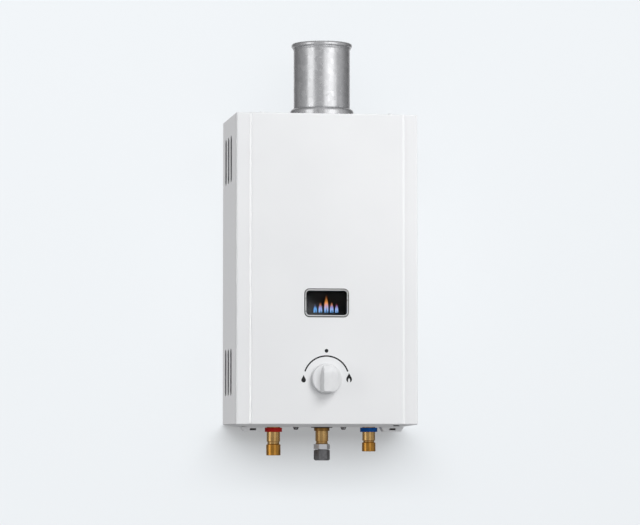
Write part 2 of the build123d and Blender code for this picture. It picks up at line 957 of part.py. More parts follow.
def make_control_knob():
    """Round skirt with a diametral grip ridge."""
    skirt = rod_y(dial_x, knob_mid, knob_back, knob_z, knob_radius)
    skirt = fillet(skirt.edges().group_by(Axis.Y)[0], 1.8)
    base = Pos(dial_x, knob_mid + 1, knob_z) * Rot(90, 0, 0) * Rectangle(ridge_base, 2 * knob_radius + 2)
    crest = Pos(dial_x, knob_front, knob_z) * Rot(90, 0, 0) * Rectangle(ridge_top, 2 * knob_radius + 2)
    ridge = loft([base, crest], ruled=True)
    ridge &= rod_y(dial_x, knob_front - 1, knob_back, knob_z, knob_radius - 0.6)
    ridge = fillet(ridge.edges().group_by(Axis.Y)[0], 1.6)
    knob = skirt + ridge
    bore = rod_y(dial_x, spindle_end - 0.1, knob_back + 1, knob_z, spindle_radius + 0.02)
    bore -= span(
        dial_x + 2.62, dial_x + 6, spindle_end - 1, panel_y - 1.02, knob_z - 6, knob_z + 6
    )
    return knob - bore


def make_push_rod():
    """Rod between the membrane plate and the gas valve disc."""
    return rod_x(disc_x1, plate_x0, axis_y, knob_z, rod_radius)


def make_gas_valve_disc():
    """Disc that closes on the seat ring."""
    return rod_x(disc_x0, disc_x1, axis_y, knob_z, disc_radius)


def make_diaphragm_plate():
    """Round plate that the membrane pushes."""
    plate = rod_x(plate_x0, plate_x1, axis_y, knob_z, water_cavity - 4)
    return plate


def make_gas_valve_spring():
    """Coil spring behind the valve disc, one unbroken wire."""
    wire = 0.6
    coil = 6.0
    turns = 3
    reach = disc_x0 - spring_x - 2 * wire - 0.6
    lift = reach / turns
    path = Helix(lift, reach, coil)
    section = Plane(origin=path @ 0, z_dir=path % 0) * Circle(wire)
    spring = sweep(section, path=path, is_frenet=True)
    samples = 96
    points = [path @ (index / samples) for index in range(samples + 1)]
    near = samples // (2 * turns)
    gaps = []
    for first in range(samples + 1):
        for second in range(first + near, samples + 1):
            gaps.append((points[first] - points[second]).length - 2 * wire)
    print("least gap between spring turns", round(min(gaps), 2), "mm")
    return Pos(spring_x + wire + 0.3, axis_y, knob_z) * Rot(0, 90, 0) * spring


def water_screw_places():
    """Places of the six screws round the water valve."""
    ring = water_radius - water_screw_inset
    places = []
    for index in range(6):
        angle = math.radians(60 * index)
        places.append((axis_y + ring * math.cos(angle), knob_z + ring * math.sin(angle)))
    return places


def make_water_valve_body():
    """Left half of the water valve, with the rod gland."""
    body = rod_x(spacer_x, membrane_x, axis_y, knob_z, water_radius)
    body -= rod_x(cavity_x, membrane_x + 1, axis_y, knob_z, water_cavity)
    body -= rod_x(spacer_x - 1, membrane_x, axis_y, knob_z, rod_radius + run_gap)
    for y, z in water_screw_places():
        body -= rod_x(spacer_x - 1, membrane_x + 1, y, z, screw_radius + run_gap)
    return body


def make_diaphragm():
    """Rubber membrane clamped between the valve halves."""
    disc = rod_x(membrane_x, cover_x, axis_y, knob_z, water_radius)
    for y, z in water_screw_places():
        disc -= rod_x(membrane_x - 1, cover_x + 1, y, z, screw_radius + run_gap)
    return disc


water_end = cold_x + cold_spigot_radius
water_flange = cover_x + water_flange_thick


def make_water_valve_cover():
    """Right half of the water valve, with the inlet and outlet bosses."""
    body = rod_x(cover_x, water_flange, axis_y, knob_z, water_radius)
    body += rod_x(cover_x, water_end, axis_y, knob_z, water_cavity + 1.5)
    body += span(cover_x, water_end, axis_y - boss_half, axis_y + boss_half, boss_bottom, boss_top)
    body -= rod_x(cover_x - 1, cold_x, axis_y, knob_z, water_cavity)
    body -= rod_z(cold_x, axis_y, boss_bottom - 1, boss_top + 1, water_bore)
    for y, z in water_screw_places():
        body -= rod_x(cover_x - 1, water_flange + 1, y, z, screw_radius + run_gap)
    return body


def make_water_valve_screws():
    """Six screws that clamp the water valve."""
    screws = []
    for y, z in water_screw_places():
        screw = rod_x(spacer_x + 0.5, water_flange, y, z, screw_radius)
        head = rod_x(water_flange, water_flange + water_head_height, y, z, water_head_radius)
        screws.append(screw + head)
    return Compound(children=screws)


def make_microswitch():
    """Switch on the yoke, with a plunger that feels the rod."""
    x0 = valve_right + 1
    x1 = spacer_x - 1
    top = valve_z1 + switch_height
    case = span(x0, x1, axis_y - switch_half, axis_y + switch_half, valve_z1, top)
    middle = (x0 + x1) / 2
    case += rod_z(middle, axis_y, knob_z + rod_radius + 0.5, valve_z1 + 1, 1.2)
    for y in (axis_y - 0.6 * switch_half, axis_y + 0.6 * switch_half):
        case += span(middle - 3, middle + 3, y - 0.4, y + 0.4, top - 1, top + switch_blade)
    return case


def turned_end(x, outline, bore):
    """Turned pipe end from its outline, a radius and a level at each corner from the top down."""
    rim = [(bore, outline[0][1])] + outline + [(bore, outline[-1][1])]
    corners = [(radius, 0, level) for radius, level in rim]
    edges = [Line(corners[index - 1], corners[index]) for index in range(len(corners))]
    return Pos(x, axis_y, 0) * revolve(make_face(edges), Axis.Z)


def spigot_outline(top, levels, neck, groove, spigot):
    """Outline of a water end: neck, sloped groove and plain spigot with a chamfered mouth."""
    neck_low, groove_low, low = levels
    return [
        (neck, top),
        (neck, neck_low),
        (groove, neck_low - end_slope),
        (groove, groove_low),
        (spigot, groove_low - end_slope),
        (spigot, low + end_chamfer),
        (spigot - end_chamfer, low),
    ]


hot_top = floor_top + hot_rise
hot_shoulder = hot_top - hot_socket
ring_top = floor_z - ring_gap
hot_levels = [ring_top - ring_height - hot_neck]
hot_levels.append(hot_levels[0] - hot_groove)
hot_levels.append(hot_levels[1] - hot_spigot)
cold_levels = [ring_top - ring_height - cold_neck]
cold_levels.append(cold_levels[0] - cold_groove)
cold_levels.append(cold_levels[1] - cold_spigot)
gas_levels = [floor_z - gas_collar]
gas_levels.append(gas_levels[0] - gas_neck)
gas_levels.append(gas_levels[1] - gas_ring)
adapter_low = gas_levels[2] - adapter_height
nut_top = adapter_low - free_gap
nut_low = nut_top - nut_height
nut_seat = nut_top - nut_collar


def make_hot_outlet_fitting():
    """Brass pipe end with a plain spigot and a solder socket on top."""
    outline = spigot_outline(hot_top, hot_levels, hot_neck_radius, hot_groove_radius, hot_spigot_radius)
    fitting = turned_end(hot_x, outline, water_bore)
    return fitting - rod_z(hot_x, axis_y, hot_shoulder, hot_top + 1, tube_radius + run_gap)


def make_cold_inlet_fitting():
    """Brass pipe end that reaches up to the water valve."""
    outline = spigot_outline(
        boss_bottom, cold_levels, cold_neck_radius, cold_groove_radius, cold_spigot_radius
    )
    return turned_end(cold_x, outline, water_bore)


def make_colour_ring(x, neck):
    """Moulded ring round a pipe end."""
    ring = rod_z(x, axis_y, ring_top - ring_height, ring_top, ring_radius)
    ring = fillet(ring.edges().group_by(Axis.Z)[0] + ring.edges().group_by(Axis.Z)[-1], 0.8)
    return ring - rod_z(x, axis_y, ring_top - ring_height - 1, ring_top + 1, neck + run_gap)


def make_pipe_locknuts():
    """Nuts inside the pan, one on each pipe end."""
    nuts = []
    nut_level = floor_top + locknut_height
    for x, radius in pipe_necks:
        nut = hex_z(x, axis_y, floor_top, nut_level, locknut_flats, 0)
        nuts.append(nut - rod_z(x, axis_y, floor_top - 1, nut_level + 1, radius + run_gap))
    return Compound(children=nuts)


def make_gas_inlet_fitting():
    """Brass pipe end of the gas way, with a collar under the pan."""
    outline = [(gas_neck_radius, valve_z0)]
    level = floor_z
    for radius, low in zip((gas_collar_radius, gas_neck_radius, gas_groove_radius), gas_levels):
        outline += [(outline[-1][0], level), (radius, level)]
        level = low
    outline.append((gas_groove_radius, level))
    return turned_end(0, outline, water_bore)


def make_gas_adapter():
    """Hexagonal adapter with a tail that keeps the union nut."""
    top = gas_levels[2]
    solid = hex_z(0, axis_y, adapter_low, top, hex_flats, 0)
    tail_low = nut_seat - 0.3
    solid += rod_z(0, axis_y, tail_low, adapter_low, tail_radius)
    solid += rod_z(0, axis_y, tail_low - lip_height, tail_low, lip_radius)
    return solid - rod_z(0, axis_y, nut_low, top + 1, 4.8)


def make_gas_union_nut():
    """Loose hexagonal nut on the adapter tail."""
    nut = hex_z(0, axis_y, nut_low, nut_top, hex_flats, nut_turn)
    reach = hex_flats / math.sqrt(3)
    crown = rod_z(0, axis_y, nut_low, nut_top, reach + 0.1)
    rims = crown.edges().group_by(Axis.Z)
    nut &= chamfer(rims[0] + rims[-1], 1.0, 1.8)
    nut -= rod_z(0, axis_y, nut_seat - 1, nut_top + 1, tail_radius + 0.3)
    nut -= rod_z(0, axis_y, nut_seat - lip_height - 1, nut_seat, nut_relief)
    return nut - rod_z(0, axis_y, nut_low - 1, nut_seat, nut_bore)


side_run = half_chamber + pipe_side_gap


def make_cold_riser():
    """Copper pipe from the water valve up to the heat exchanger."""
    level = frame_low - tube_radius - riser_gap
    back = tube_rows[0]
    route = [
        (cold_x, axis_y, boss_top),
        (cold_x, axis_y, level),
        (side_run, back, level),
        (side_run, back, tube_level),
        (tube_end, back, tube_level),
    ]
    return bent_tube(route, riser_bend, tube_radius, tube_bore)


def make_hot_pipe():
    """Copper pipe from the heat exchanger down to the hot outlet."""
    front = tube_rows[2]
    route = [
        (-tube_end, front, tube_level),
        (-side_run - 2, front, tube_level),
        (-side_run - 2, front, knob_z - 6),
        (hot_x, axis_y, hot_top + 6),
        (hot_x, axis_y, hot_shoulder + 0.1),
    ]
    return bent_tube(route, hot_bend, tube_radius, tube_bore)


module_x = -half_w + module_inset
module_z = -half_h + module_lift
module_top = module_z + module_height / 2
lead_start = module_top + lead_boss_height
lead_x = -side_run


def make_igniter_module():
    """Sealed spark unit on the back plate."""
    half = module_width / 2
    case = span(
        module_x - half, module_x + half, -module_reach, -frame_sheet, module_top - module_height, module_top
    )
    case = fillet(case.edges().filter_by(Axis.Y), module_radius)
    return case + rod_z(lead_x, -lead_depth, module_top - 1, lead_start, lead_boss)


def make_ignition_lead():
    """Insulated lead from the spark unit to the electrode."""
    route = [
        (lead_x, -lead_depth, lead_start),
        (lead_x, -lead_depth, sensor_z),
        (lead_x, electrode_y, sensor_z),
        (-half_chamber - probe_reach, electrode_y, sensor_z),
    ]
    return bent_tube(route, lead_bend, lead_radius)


def make_flame_probe(side, y):
    """Ceramic rod through a chamber wall, with a flange and a metal tip."""
    wall = side * half_chamber

    def run(start, stop, radius):
        first, last = sorted((wall - side * start, wall - side * stop))
        return rod_x(first, last, y, sensor_z, radius)

    probe = run(-probe_reach, probe_reach, probe_radius) + run(probe_reach, probe_tip, probe_radius / 3)
    inner, outer = sorted((wall, wall + side * 2.5))
    low = sensor_z - probe_flange
    high = sensor_z + probe_flange
    return probe + span(inner, outer, y - probe_flange, y + probe_flange, low, high)


def make_thermostat(side, y, z):
    """Disc thermostat with two blades on a chamber or hood wall."""
    wall = side * half_chamber
    inner, outer = sorted((wall, wall + side * thermostat_body))
    case = rod_x(inner, outer, y, z, thermostat_radius)
    inner, outer = sorted((wall + side * (thermostat_body - 1), wall + side * thermostat_reach))
    for shift in (-thermostat_radius / 2, thermostat_radius / 2):
        case += span(inner, outer, y + shift - 0.4, y + shift + 0.4, z - 3, z + 3)
    return case


cell_low = floor_top + 2.4
box_top = cell_low + cell_length + 0.1
hinge_y = box_y1 - 4.5
hinge_z = floor_top + 2.0
pin_radius = 1.5


def make_battery_box():
    """Plastic box over the battery opening, open at the bottom."""
    box = span(
        -box_half - box_wall,
        box_half + box_wall,
        box_y0 - box_wall,
        box_y1 + box_wall,
        floor_top,
        box_top + box_wall,
    )
    box -= span(-box_half, box_half, box_y0, box_y1, floor_top - 1, box_top)
    reach = box_half + box_wall + 1
    return box - rod_x(-reach, reach, hinge_y, hinge_z, pin_radius + run_gap)


def make_batteries():
    """Two round cells, upright side by side."""
    cells = []
    for x in (-cell_spacing / 2, cell_spacing / 2):
        low = cell_low + 1.5
        cell = rod_z(x, -cell_depth, low, box_top - 1.6, cell_radius)
        cell = fillet(cell.edges(), 1.2)
        cell += rod_z(x, -cell_depth, box_top - 2, box_top - 0.1, 4.7)
        cells.append(cell)
    return Compound(children=cells)


def make_battery_door():
    """Flap flush with the pan, on two pins at its back edge."""
    half = box_half - door_gap
    door = span(-half, half, box_y0 + door_gap, hinge_y + 1.6, floor_z, floor_top + 0.8)
    for side in (-1, 1):
        inner, outer = sorted((side * (half - 2.5), side * half))
        lug = span(inner, outer, hinge_y - 2, hinge_y + 1.6, floor_z, hinge_z)
        lug += rod_x(inner, outer, hinge_y, hinge_z, 1.9)
        inner, outer = sorted((side * (half - 1), side * (box_half + box_wall)))
        door += lug + rod_x(inner, outer, hinge_y, hinge_z, pin_radius)
    return door


gasket_y = panel_back + gasket_thick
glass_y = gasket_y + glass_thick
clamp_y = glass_y + clamp_sheet
glass_width = sight_width + 2 * glass_margin
glass_height = sight_height + 2 * glass_margin


def make_window_bezel():
    """Metal frame on the panel with a lip in the window opening."""
    frame = plate_y(dial_x, window_z, bezel_width, bezel_height, bezel_radius, panel_y - bezel_rise, panel_y)
    frame = chamfer(frame.faces().sort_by(Axis.Y)[0].edges(), 0.5)
    lip = 2 * lip_wall
    frame += plate_y(
        dial_x, window_z, sight_width + lip, sight_height + lip, sight_radius + 0.9, panel_y - 0.5, panel_back
    )
    return frame - plate_y(
        dial_x, window_z, sight_width, sight_height, sight_radius, panel_y - 5, panel_back + 1
    )


def make_window_gasket():
    """Soft ring between the cover and the glass."""
    ring = plate_y(dial_x, window_z, glass_width + 2, glass_height + 2, 6, panel_back, gasket_y)
    return ring - plate_y(
        dial_x, window_z, sight_width + 3, sight_height + 3, sight_radius, panel_back - 1, gasket_y + 1
    )


def make_window_glass():
    """Flat sight glass."""
    return plate_y(dial_x, window_z, glass_width, glass_height, 5, gasket_y, glass_y)


def make_window_clamp():
    """Sheet frame that presses the glass to the cover."""
    width = glass_width + 2 * clamp_margin
    plate = plate_y(dial_x, window_z, width, glass_height + 4, 3, glass_y, clamp_y)
    plate -= plate_y(
        dial_x, window_z, sight_width + 3, sight_height + 3, sight_radius, glass_y - 1, clamp_y + 1
    )
    for side in (-1, 1):
        edge = dial_x + side * width / 2
        inner, outer = sorted((edge, edge - side * clamp_sheet))
        plate += span(inner, outer, panel_back, clamp_y, window_z - clamp_tab, window_z + clamp_tab)
    return plate


nodes = {
    "front_cover": make_front_cover(),
    "cover_screws": make_cover_screws(),
    "back_plate": make_back_plate(),
    "top_plate": make_top_plate(),
    "bottom_pan": make_bottom_pan(),
    "bottom_screws": make_bottom_screws(),
    "flue_collar": make_flue_collar(),
    "flue_hood": make_flue_hood(),
    "draught_baffle": make_draught_baffle(),
    "combustion_chamber": make_combustion_chamber(),
    "chamber_brackets": make_chamber_brackets(),
    "hx_fins": make_hx_fins(),
    "hx_tubes": make_hx_tubes(),
    "hx_sleeves": make_hx_sleeves(),
    "burner_frame": make_burner_frame(),
    "burner_bars": make_burner_bars(),
    "gas_manifold": make_gas_manifold(),
    "injectors": make_injectors(),
    "gas_feed_pipe": make_gas_feed_pipe(),
    "gas_valve_body": make_gas_valve_body(),
    "valve_seat": make_valve_seat(),
    "valve_spacer": make_valve_spacer(),
    "valve_bracket": make_valve_bracket(),
    "gas_plug": make_gas_plug(),
    "plug_cap": make_plug_cap(),
    "knob_spindle": make_knob_spindle(),
    "control_knob": make_control_knob(),
    "push_rod": make_push_rod(),
    "gas_valve_disc": make_gas_valve_disc(),
    "diaphragm_plate": make_diaphragm_plate(),
    "gas_valve_spring": make_gas_valve_spring(),
    "water_valve_body": make_water_valve_body(),
    "diaphragm": make_diaphragm(),
    "water_valve_cover": make_water_valve_cover(),
    "water_valve_screws": make_water_valve_screws(),
    "microswitch": make_microswitch(),
    "hot_outlet_fitting": make_hot_outlet_fitting(),
    "cold_inlet_fitting": make_cold_inlet_fitting(),
    "hot_ring": make_colour_ring(hot_x, hot_neck_radius),
    "cold_ring": make_colour_ring(cold_x, cold_neck_radius),
    "pipe_locknuts": make_pipe_locknuts(),
    "gas_inlet_fitting": make_gas_inlet_fitting(),
    "gas_adapter": make_gas_adapter(),
    "gas_union_nut": make_gas_union_nut(),
    "cold_riser": make_cold_riser(),
    "hot_pipe": make_hot_pipe(),
    "igniter_module": make_igniter_module(),
    "ignition_lead": make_ignition_lead(),
    "ignition_electrode": make_flame_probe(-1, electrode_y),
    "flame_sensor": make_flame_probe(1, sensor_y),
    "overheat_thermostat": make_thermostat(-1, chamber_y1 - thermostat_setback, tube_level - thermostat_drop),
    "flue_thermostat": make_thermostat(1, chamber_mid, chamber_top + hood_skirt / 2),
    "battery_box": make_battery_box(),
    "batteries": make_batteries(),
    "battery_door": make_battery_door(),
    "window_bezel": make_window_bezel(),
    "window_gasket": make_window_gasket(),
    "window_glass": make_window_glass(),
    "window_clamp": make_window_clamp(),
}

for name, shape in nodes.items():
    export_step(shape, f"parts/{name}.step")
print(len(nodes), "nodes")
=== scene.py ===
# %% [markdown]
# This lesson dresses a wall-hung gas water heater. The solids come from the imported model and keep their
# places, so a new piece is simply made where the solid already is. Everything is in metres.

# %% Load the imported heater
import json
import math

import bmesh
import bpy
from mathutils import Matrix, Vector


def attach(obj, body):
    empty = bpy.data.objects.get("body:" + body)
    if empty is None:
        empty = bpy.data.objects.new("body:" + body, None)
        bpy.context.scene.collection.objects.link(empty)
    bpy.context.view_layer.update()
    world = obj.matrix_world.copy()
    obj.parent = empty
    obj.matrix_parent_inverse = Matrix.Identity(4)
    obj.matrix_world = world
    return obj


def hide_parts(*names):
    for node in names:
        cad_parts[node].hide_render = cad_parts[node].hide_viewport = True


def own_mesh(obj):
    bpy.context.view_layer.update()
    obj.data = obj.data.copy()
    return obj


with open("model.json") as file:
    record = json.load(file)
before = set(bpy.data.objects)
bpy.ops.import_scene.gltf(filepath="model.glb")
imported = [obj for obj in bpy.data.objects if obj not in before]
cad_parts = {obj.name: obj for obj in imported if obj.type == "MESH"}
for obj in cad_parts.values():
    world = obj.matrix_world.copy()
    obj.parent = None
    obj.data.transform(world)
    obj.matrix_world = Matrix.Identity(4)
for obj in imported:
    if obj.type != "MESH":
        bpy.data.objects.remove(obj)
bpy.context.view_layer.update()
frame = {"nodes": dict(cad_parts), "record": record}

mm = 0.001
nodes_of_heater = frame["nodes"]

# %% [markdown]
# The photograph was taken with a long lens from a little to the left and a little below. A camera that was
# fitted to the casing's corners gives the place, the direction and the lens. A plain camera with no shift
# is enough, because the heater's perspective already fits.

# %% Camera
bpy.ops.object.select_all(action="DESELECT")
camera_place = Vector((-0.740212, -4.913317, -0.264817))
camera_looks = Vector((0.1515784, 0.98679772, 0.05704595))
bpy.ops.object.camera_add(
    location=camera_place,
    rotation=camera_looks.to_track_quat("-Z", "Y").to_euler(),
)
camera = bpy.context.object
camera.name = "photo_camera"
camera.data.sensor_fit = "HORIZONTAL"
camera.data.sensor_width = 36
camera.data.lens = 171.477
bpy.context.scene.camera = camera
bpy.context.scene.view_settings.view_transform = "Standard"
print("camera is", round(camera_place.length, 2), "m from the wall's origin")

# %% [markdown]
# Surfaces and the room are drawn with shader nodes, and a few small jobs come back again and again: a ramp
# that turns a value into a colour, a change of one range of numbers into another, a shader of one colour
# and a mix of two shaders. Each gets a helper, so the cells below say what is wanted and not how the
# nodes are wired.

# %% Helpers for shader nodes
def bare_tree(owner):
    owner.use_nodes = True
    owner.node_tree.nodes.clear()
    return owner.node_tree


def ramp(tree, value, marks):
    node = tree.nodes.new("ShaderNodeValToRGB")
    stops = node.color_ramp.elements
    while len(stops) < len(marks):
        stops.new(0.5)
    for stop, (place, colour) in zip(stops, marks):
        stop.position = place
        stop.color = (*colour, 1)
    tree.links.new(value, node.inputs["Fac"])
    return node.outputs["Color"]


def remap(tree, value, low, high, to_low, to_high):
    node = tree.nodes.new("ShaderNodeMapRange")
    sockets = ("From Min", "From Max", "To Min", "To Max")
    for socket, number in zip(sockets, (low, high, to_low, to_high)):
        node.inputs[socket].default_value = number
    tree.links.new(value, node.inputs["Value"])
    return node.outputs["Result"]


def coloured(tree, kind, colour):
    node = tree.nodes.new(kind)
    node.inputs["Color"].default_value = (*colour, 1)
    return node


def mix(tree, share, first, second):
    node = tree.nodes.new("ShaderNodeMixShader")
    tree.links.new(first, node.inputs[1])
    tree.links.new(second, node.inputs[2])
    if isinstance(share, float):
        node.inputs["Fac"].default_value = share
    else:
        tree.links.new(share, node.inputs["Fac"])
    return node.outputs["Shader"]


print("shader helpers are ready")

# %% [markdown]
# The heater hangs on a pale wall over a pale floor. Both are stage, not part of the heater. A share of the
# wall's paint glows for the camera only, so that it stays pale in the shadow under the casing too. Seen
# from behind, wall and floor let the view through, which the Backfacing output gives, so the heater can be
# looked at from every side. Both are left out of bounced light: the underside then stays as dark as it is.

# %% Wall and floor
stage_size = 14
glow_level = 0.6
behind_heater = 2 * mm
floor_level = -1.25


def stage_paint(name, colour, glow_share):
    material = bpy.data.materials.new(name)
    material.cycles.emission_sampling = "NONE"
    tree = bare_tree(material)
    ray = tree.nodes.new("ShaderNodeLightPath")
    side = tree.nodes.new("ShaderNodeNewGeometry")
    clear = tree.nodes.new("ShaderNodeBsdfTransparent")
    paint = coloured(tree, "ShaderNodeBsdfDiffuse", colour)
    shine = coloured(tree, "ShaderNodeEmission", colour)
    seen = remap(tree, ray.outputs["Is Camera Ray"], 0, 1, 0, glow_level)
    tree.links.new(seen, shine.inputs["Strength"])
    front = mix(tree, glow_share, paint.outputs["BSDF"], shine.outputs["Emission"])
    both = mix(tree, side.outputs["Backfacing"], front, clear.outputs["BSDF"])
    out = tree.nodes.new("ShaderNodeOutputMaterial")
    tree.links.new(both, out.inputs["Surface"])
    return material


def stage_sheet(name, place, turn, colour, glow_share):
    bpy.ops.object.select_all(action="DESELECT")
    bpy.ops.mesh.primitive_plane_add(size=stage_size, location=place, rotation=turn)
    sheet = bpy.context.object
    sheet.name = name
    sheet.data.materials.append(stage_paint(name + "_paint", colour, glow_share))
    sheet.visible_glossy = False
    sheet.visible_diffuse = False
    sheet.visible_shadow = False
    return sheet


upright = (math.pi / 2, 0, 0)
wall = stage_sheet("pale_wall", (0, behind_heater, 0), upright, (0.868, 0.880, 0.890), 0.5)
floor = stage_sheet("pale_floor", (0, 0, floor_level), (0, 0, 0), (0.84, 0.86, 0.88), 0.0)
print("stage:", wall.name, floor.name)

# %% [markdown]
# A square softbox high on the right is the main light and throws the soft shadow of the knob, and a broad
# one in front fills the shadows. A tall fill on the left lifts the knob and the fittings but leaves out
# the casing, whose side stays grey. Two strips are for the casing alone: they draw the bright lines along
# the panel's bent edges. A weak box lifts the pan from below, and one behind the wall serves views of the
# back. The wall has a slightly cool lamp of its own, far behind the camera, which only the underside
# blocks: so the shadow falls just below the casing and is soft at its sides. Light linking says which
# lamp reaches what.

# %% Lamps
def softbox(name, place, aim, width, height, watts):
    bpy.ops.object.select_all(action="DESELECT")
    turn = (Vector(aim) - Vector(place)).to_track_quat("-Z", "Y").to_euler()
    bpy.ops.object.light_add(type="AREA", location=place, rotation=turn)
    lamp = bpy.context.object
    lamp.name = name
    lamp.data.shape = "RECTANGLE"
    lamp.data.size = width
    lamp.data.size_y = height
    lamp.data.energy = watts
    lamp.visible_glossy = False
    lamp.visible_camera = False
    return lamp


def linking(name, state, *things):
    group = bpy.data.collections.new(name)
    for thing in things:
        group.objects.link(thing)
    for entry in group.collection_objects:
        entry.light_linking.link_state = state
    return group


casing = nodes_of_heater["front_cover"]
front_box = softbox("front_box", (1.5, -3.1, 0.0), (0, -0.1, 0), 2.6, 1.5, 21.6)
key_box = softbox("key_box", (1.05, -1.95, 1.50), (0, -0.17, -0.1), 1.4, 1.4, 44)
back_box = softbox("back_box", (-1.0, 3.2, 1.4), (0, 0, 0), 1.6, 1.6, 30)
fill_box = softbox("fill_box", (-2.4, -1.4, 0.2), (0, -0.1, 0), 0.8, 2.0, 13)
left_strip = softbox("left_strip", (-2.49, -1.0, 0.1), (-0.12, -0.17, 0), 0.20, 2.1, 14)
right_strip = softbox("right_strip", (2.6, -0.30, 0.3), (0.12, -0.17, 0), 0.8, 2.1, 5.5)
pan_box = softbox("pan_box", (0.1, -0.5, -1.2), (0, -0.09, -0.25), 0.7, 0.7, 1.2)
wall_wash = softbox("wall_wash", (-0.82, -9.0, 2.95), (0, 0, 0), 10.0, 5.1, 1295)
wall_wash.data.color = (0.940, 0.973, 1.0)
left_strip.visible_glossy = True
right_strip.visible_glossy = True

off_wall = linking("off_wall", "EXCLUDE", wall)
for lamp in (front_box, key_box, back_box):
    lamp.light_linking.receiver_collection = off_wall
fill_box.light_linking.receiver_collection = linking("off_casing", "EXCLUDE", wall, casing)
for lamp in (left_strip, right_strip):
    lamp.light_linking.receiver_collection = linking(lamp.name + "_only", "INCLUDE", casing)
wall_wash.light_linking.receiver_collection = linking("wall_only", "INCLUDE", wall)
below = [nodes_of_heater[name] for name in ("bottom_pan", "battery_box", "batteries", "battery_door")]
wall_wash.light_linking.blocker_collection = linking("underside", "INCLUDE", *below)
pan_box.light_linking.receiver_collection = linking("pan_only", "INCLUDE", nodes_of_heater["bottom_pan"])

# %% [markdown]
# The world plays the studio room. Diffuse surfaces see a pale light, weaker from below. Shiny metal sees
# a band of lighter and darker room, laid out round the heater by a radial gradient, because that is what
# models a turned surface. The camera sees a pale backdrop.

# %% Room light
cool = 1.02
band = [
    (0.000, 0.36), (0.040, 0.46), (0.062, 0.48), (0.112, 0.48), (0.145, 0.46), (0.226, 0.46),
    (0.262, 0.54), (0.295, 0.62), (0.330, 0.48), (0.370, 0.46), (0.425, 0.50), (0.470, 0.46),
    (0.520, 0.27), (0.620, 0.15), (0.665, 0.58), (0.785, 0.58), (0.830, 0.15), (1.000, 0.36),
]
room = bpy.context.scene.world or bpy.data.worlds.new("studio")
bpy.context.scene.world = room
room_tree = bare_tree(room)
direction = room_tree.nodes.new("ShaderNodeTexCoord")
round_it = room_tree.nodes.new("ShaderNodeTexGradient")
round_it.gradient_type = "RADIAL"
height = room_tree.nodes.new("ShaderNodeSeparateXYZ")
for node in (round_it, height):
    room_tree.links.new(direction.outputs["Generated"], node.inputs["Vector"])

marks = [(place, (level, level, level * cool)) for place, level in band]
shiny = room_tree.nodes.new("ShaderNodeBackground")
room_tree.links.new(ramp(room_tree, round_it.outputs["Fac"], marks), shiny.inputs["Color"])
even = coloured(room_tree, "ShaderNodeBackground", (0.97, 0.985, 1.0))
strength = remap(room_tree, height.outputs["Z"], -0.5, 0.5, 0.27, 0.45)
room_tree.links.new(strength, even.inputs["Strength"])
pale = coloured(room_tree, "ShaderNodeBackground", (0.863, 0.896, 0.930))

ray = room_tree.nodes.new("ShaderNodeLightPath")
lit = mix(room_tree, ray.outputs["Is Glossy Ray"], even.outputs["Background"], shiny.outputs["Background"])
seen = mix(room_tree, ray.outputs["Is Camera Ray"], lit, pale.outputs["Background"])
out = room_tree.nodes.new("ShaderNodeOutputWorld")
room_tree.links.new(seen, out.inputs["Surface"])
print("room has", len(room_tree.nodes), "nodes")

# %% [markdown]
# Every finish starts as a Principled shader. Four small helpers cover what real surfaces need: a pattern
# that sits in the piece's own coordinates, a tint from dark to light, a spread of roughness, and a relief
# of a real depth in metres. Using the same four keeps all finishes easy to read and to change. A fifth
# makes a whole table of finishes.

# %% Helpers for finishes
def start_finish(name, metallic=0.0, roughness=0.4):
    material = bpy.data.materials.new(name)
    material.use_nodes = True
    shader = material.node_tree.nodes["Principled BSDF"]
    shader.inputs["Metallic"].default_value = metallic
    shader.inputs["Roughness"].default_value = roughness
    return material, shader


def pattern(material, kind, scale, stretch=(1, 1, 1), detail=None):
    tree = material.node_tree
    place = tree.nodes.new("ShaderNodeTexCoord")
    mapping = tree.nodes.new("ShaderNodeMapping")
    mapping.inputs["Scale"].default_value = stretch
    texture = tree.nodes.new(kind)
    texture.inputs["Scale"].default_value = scale
    if detail is not None:
        texture.inputs["Detail"].default_value = detail
    tree.links.new(place.outputs["Object"], mapping.inputs["Vector"])
    tree.links.new(mapping.outputs["Vector"], texture.inputs["Vector"])
    return texture


def tint(material, shader, value, dark, light, low=0.35, high=0.65):
    tree = material.node_tree
    colour = ramp(tree, value, [(low, dark), (high, light)])
    tree.links.new(colour, shader.inputs["Base Color"])


def spread(material, shader, value, smooth, rough, low=0.3, high=0.7):
    tree = material.node_tree
    roughness = remap(tree, value, low, high, smooth, rough)
    tree.links.new(roughness, shader.inputs["Roughness"])


def relief(material, shader, value, depth):
    tree = material.node_tree
    bump = tree.nodes.new("ShaderNodeBump")
    bump.inputs["Distance"].default_value = depth
    earlier = shader.inputs["Normal"].links
    if earlier:
        tree.links.new(earlier[0].from_socket, bump.inputs["Normal"])
    tree.links.new(value, bump.inputs["Height"])
    tree.links.new(bump.outputs["Normal"], shader.inputs["Normal"])


NOISE = "ShaderNodeTexNoise"
CELLS = "ShaderNodeTexVoronoi"
finishes = {}


def add_finishes(maker, *rows):
    for row in rows:
        finishes[row[0]] = maker(*row)
    print("made", [row[0] for row in rows])


print("finish helpers are ready")

# %% [markdown]
# The casing is folded sheet with baked white enamel. Sprayed enamel flows out but keeps a faint orange
# peel, and its gloss varies slightly. A fine relief, a broad change of tint and a thin clear coat give
# that. The grey of its side comes from the light alone. The pan below gets the thin dull coat that such
# sheet has where nobody looks.

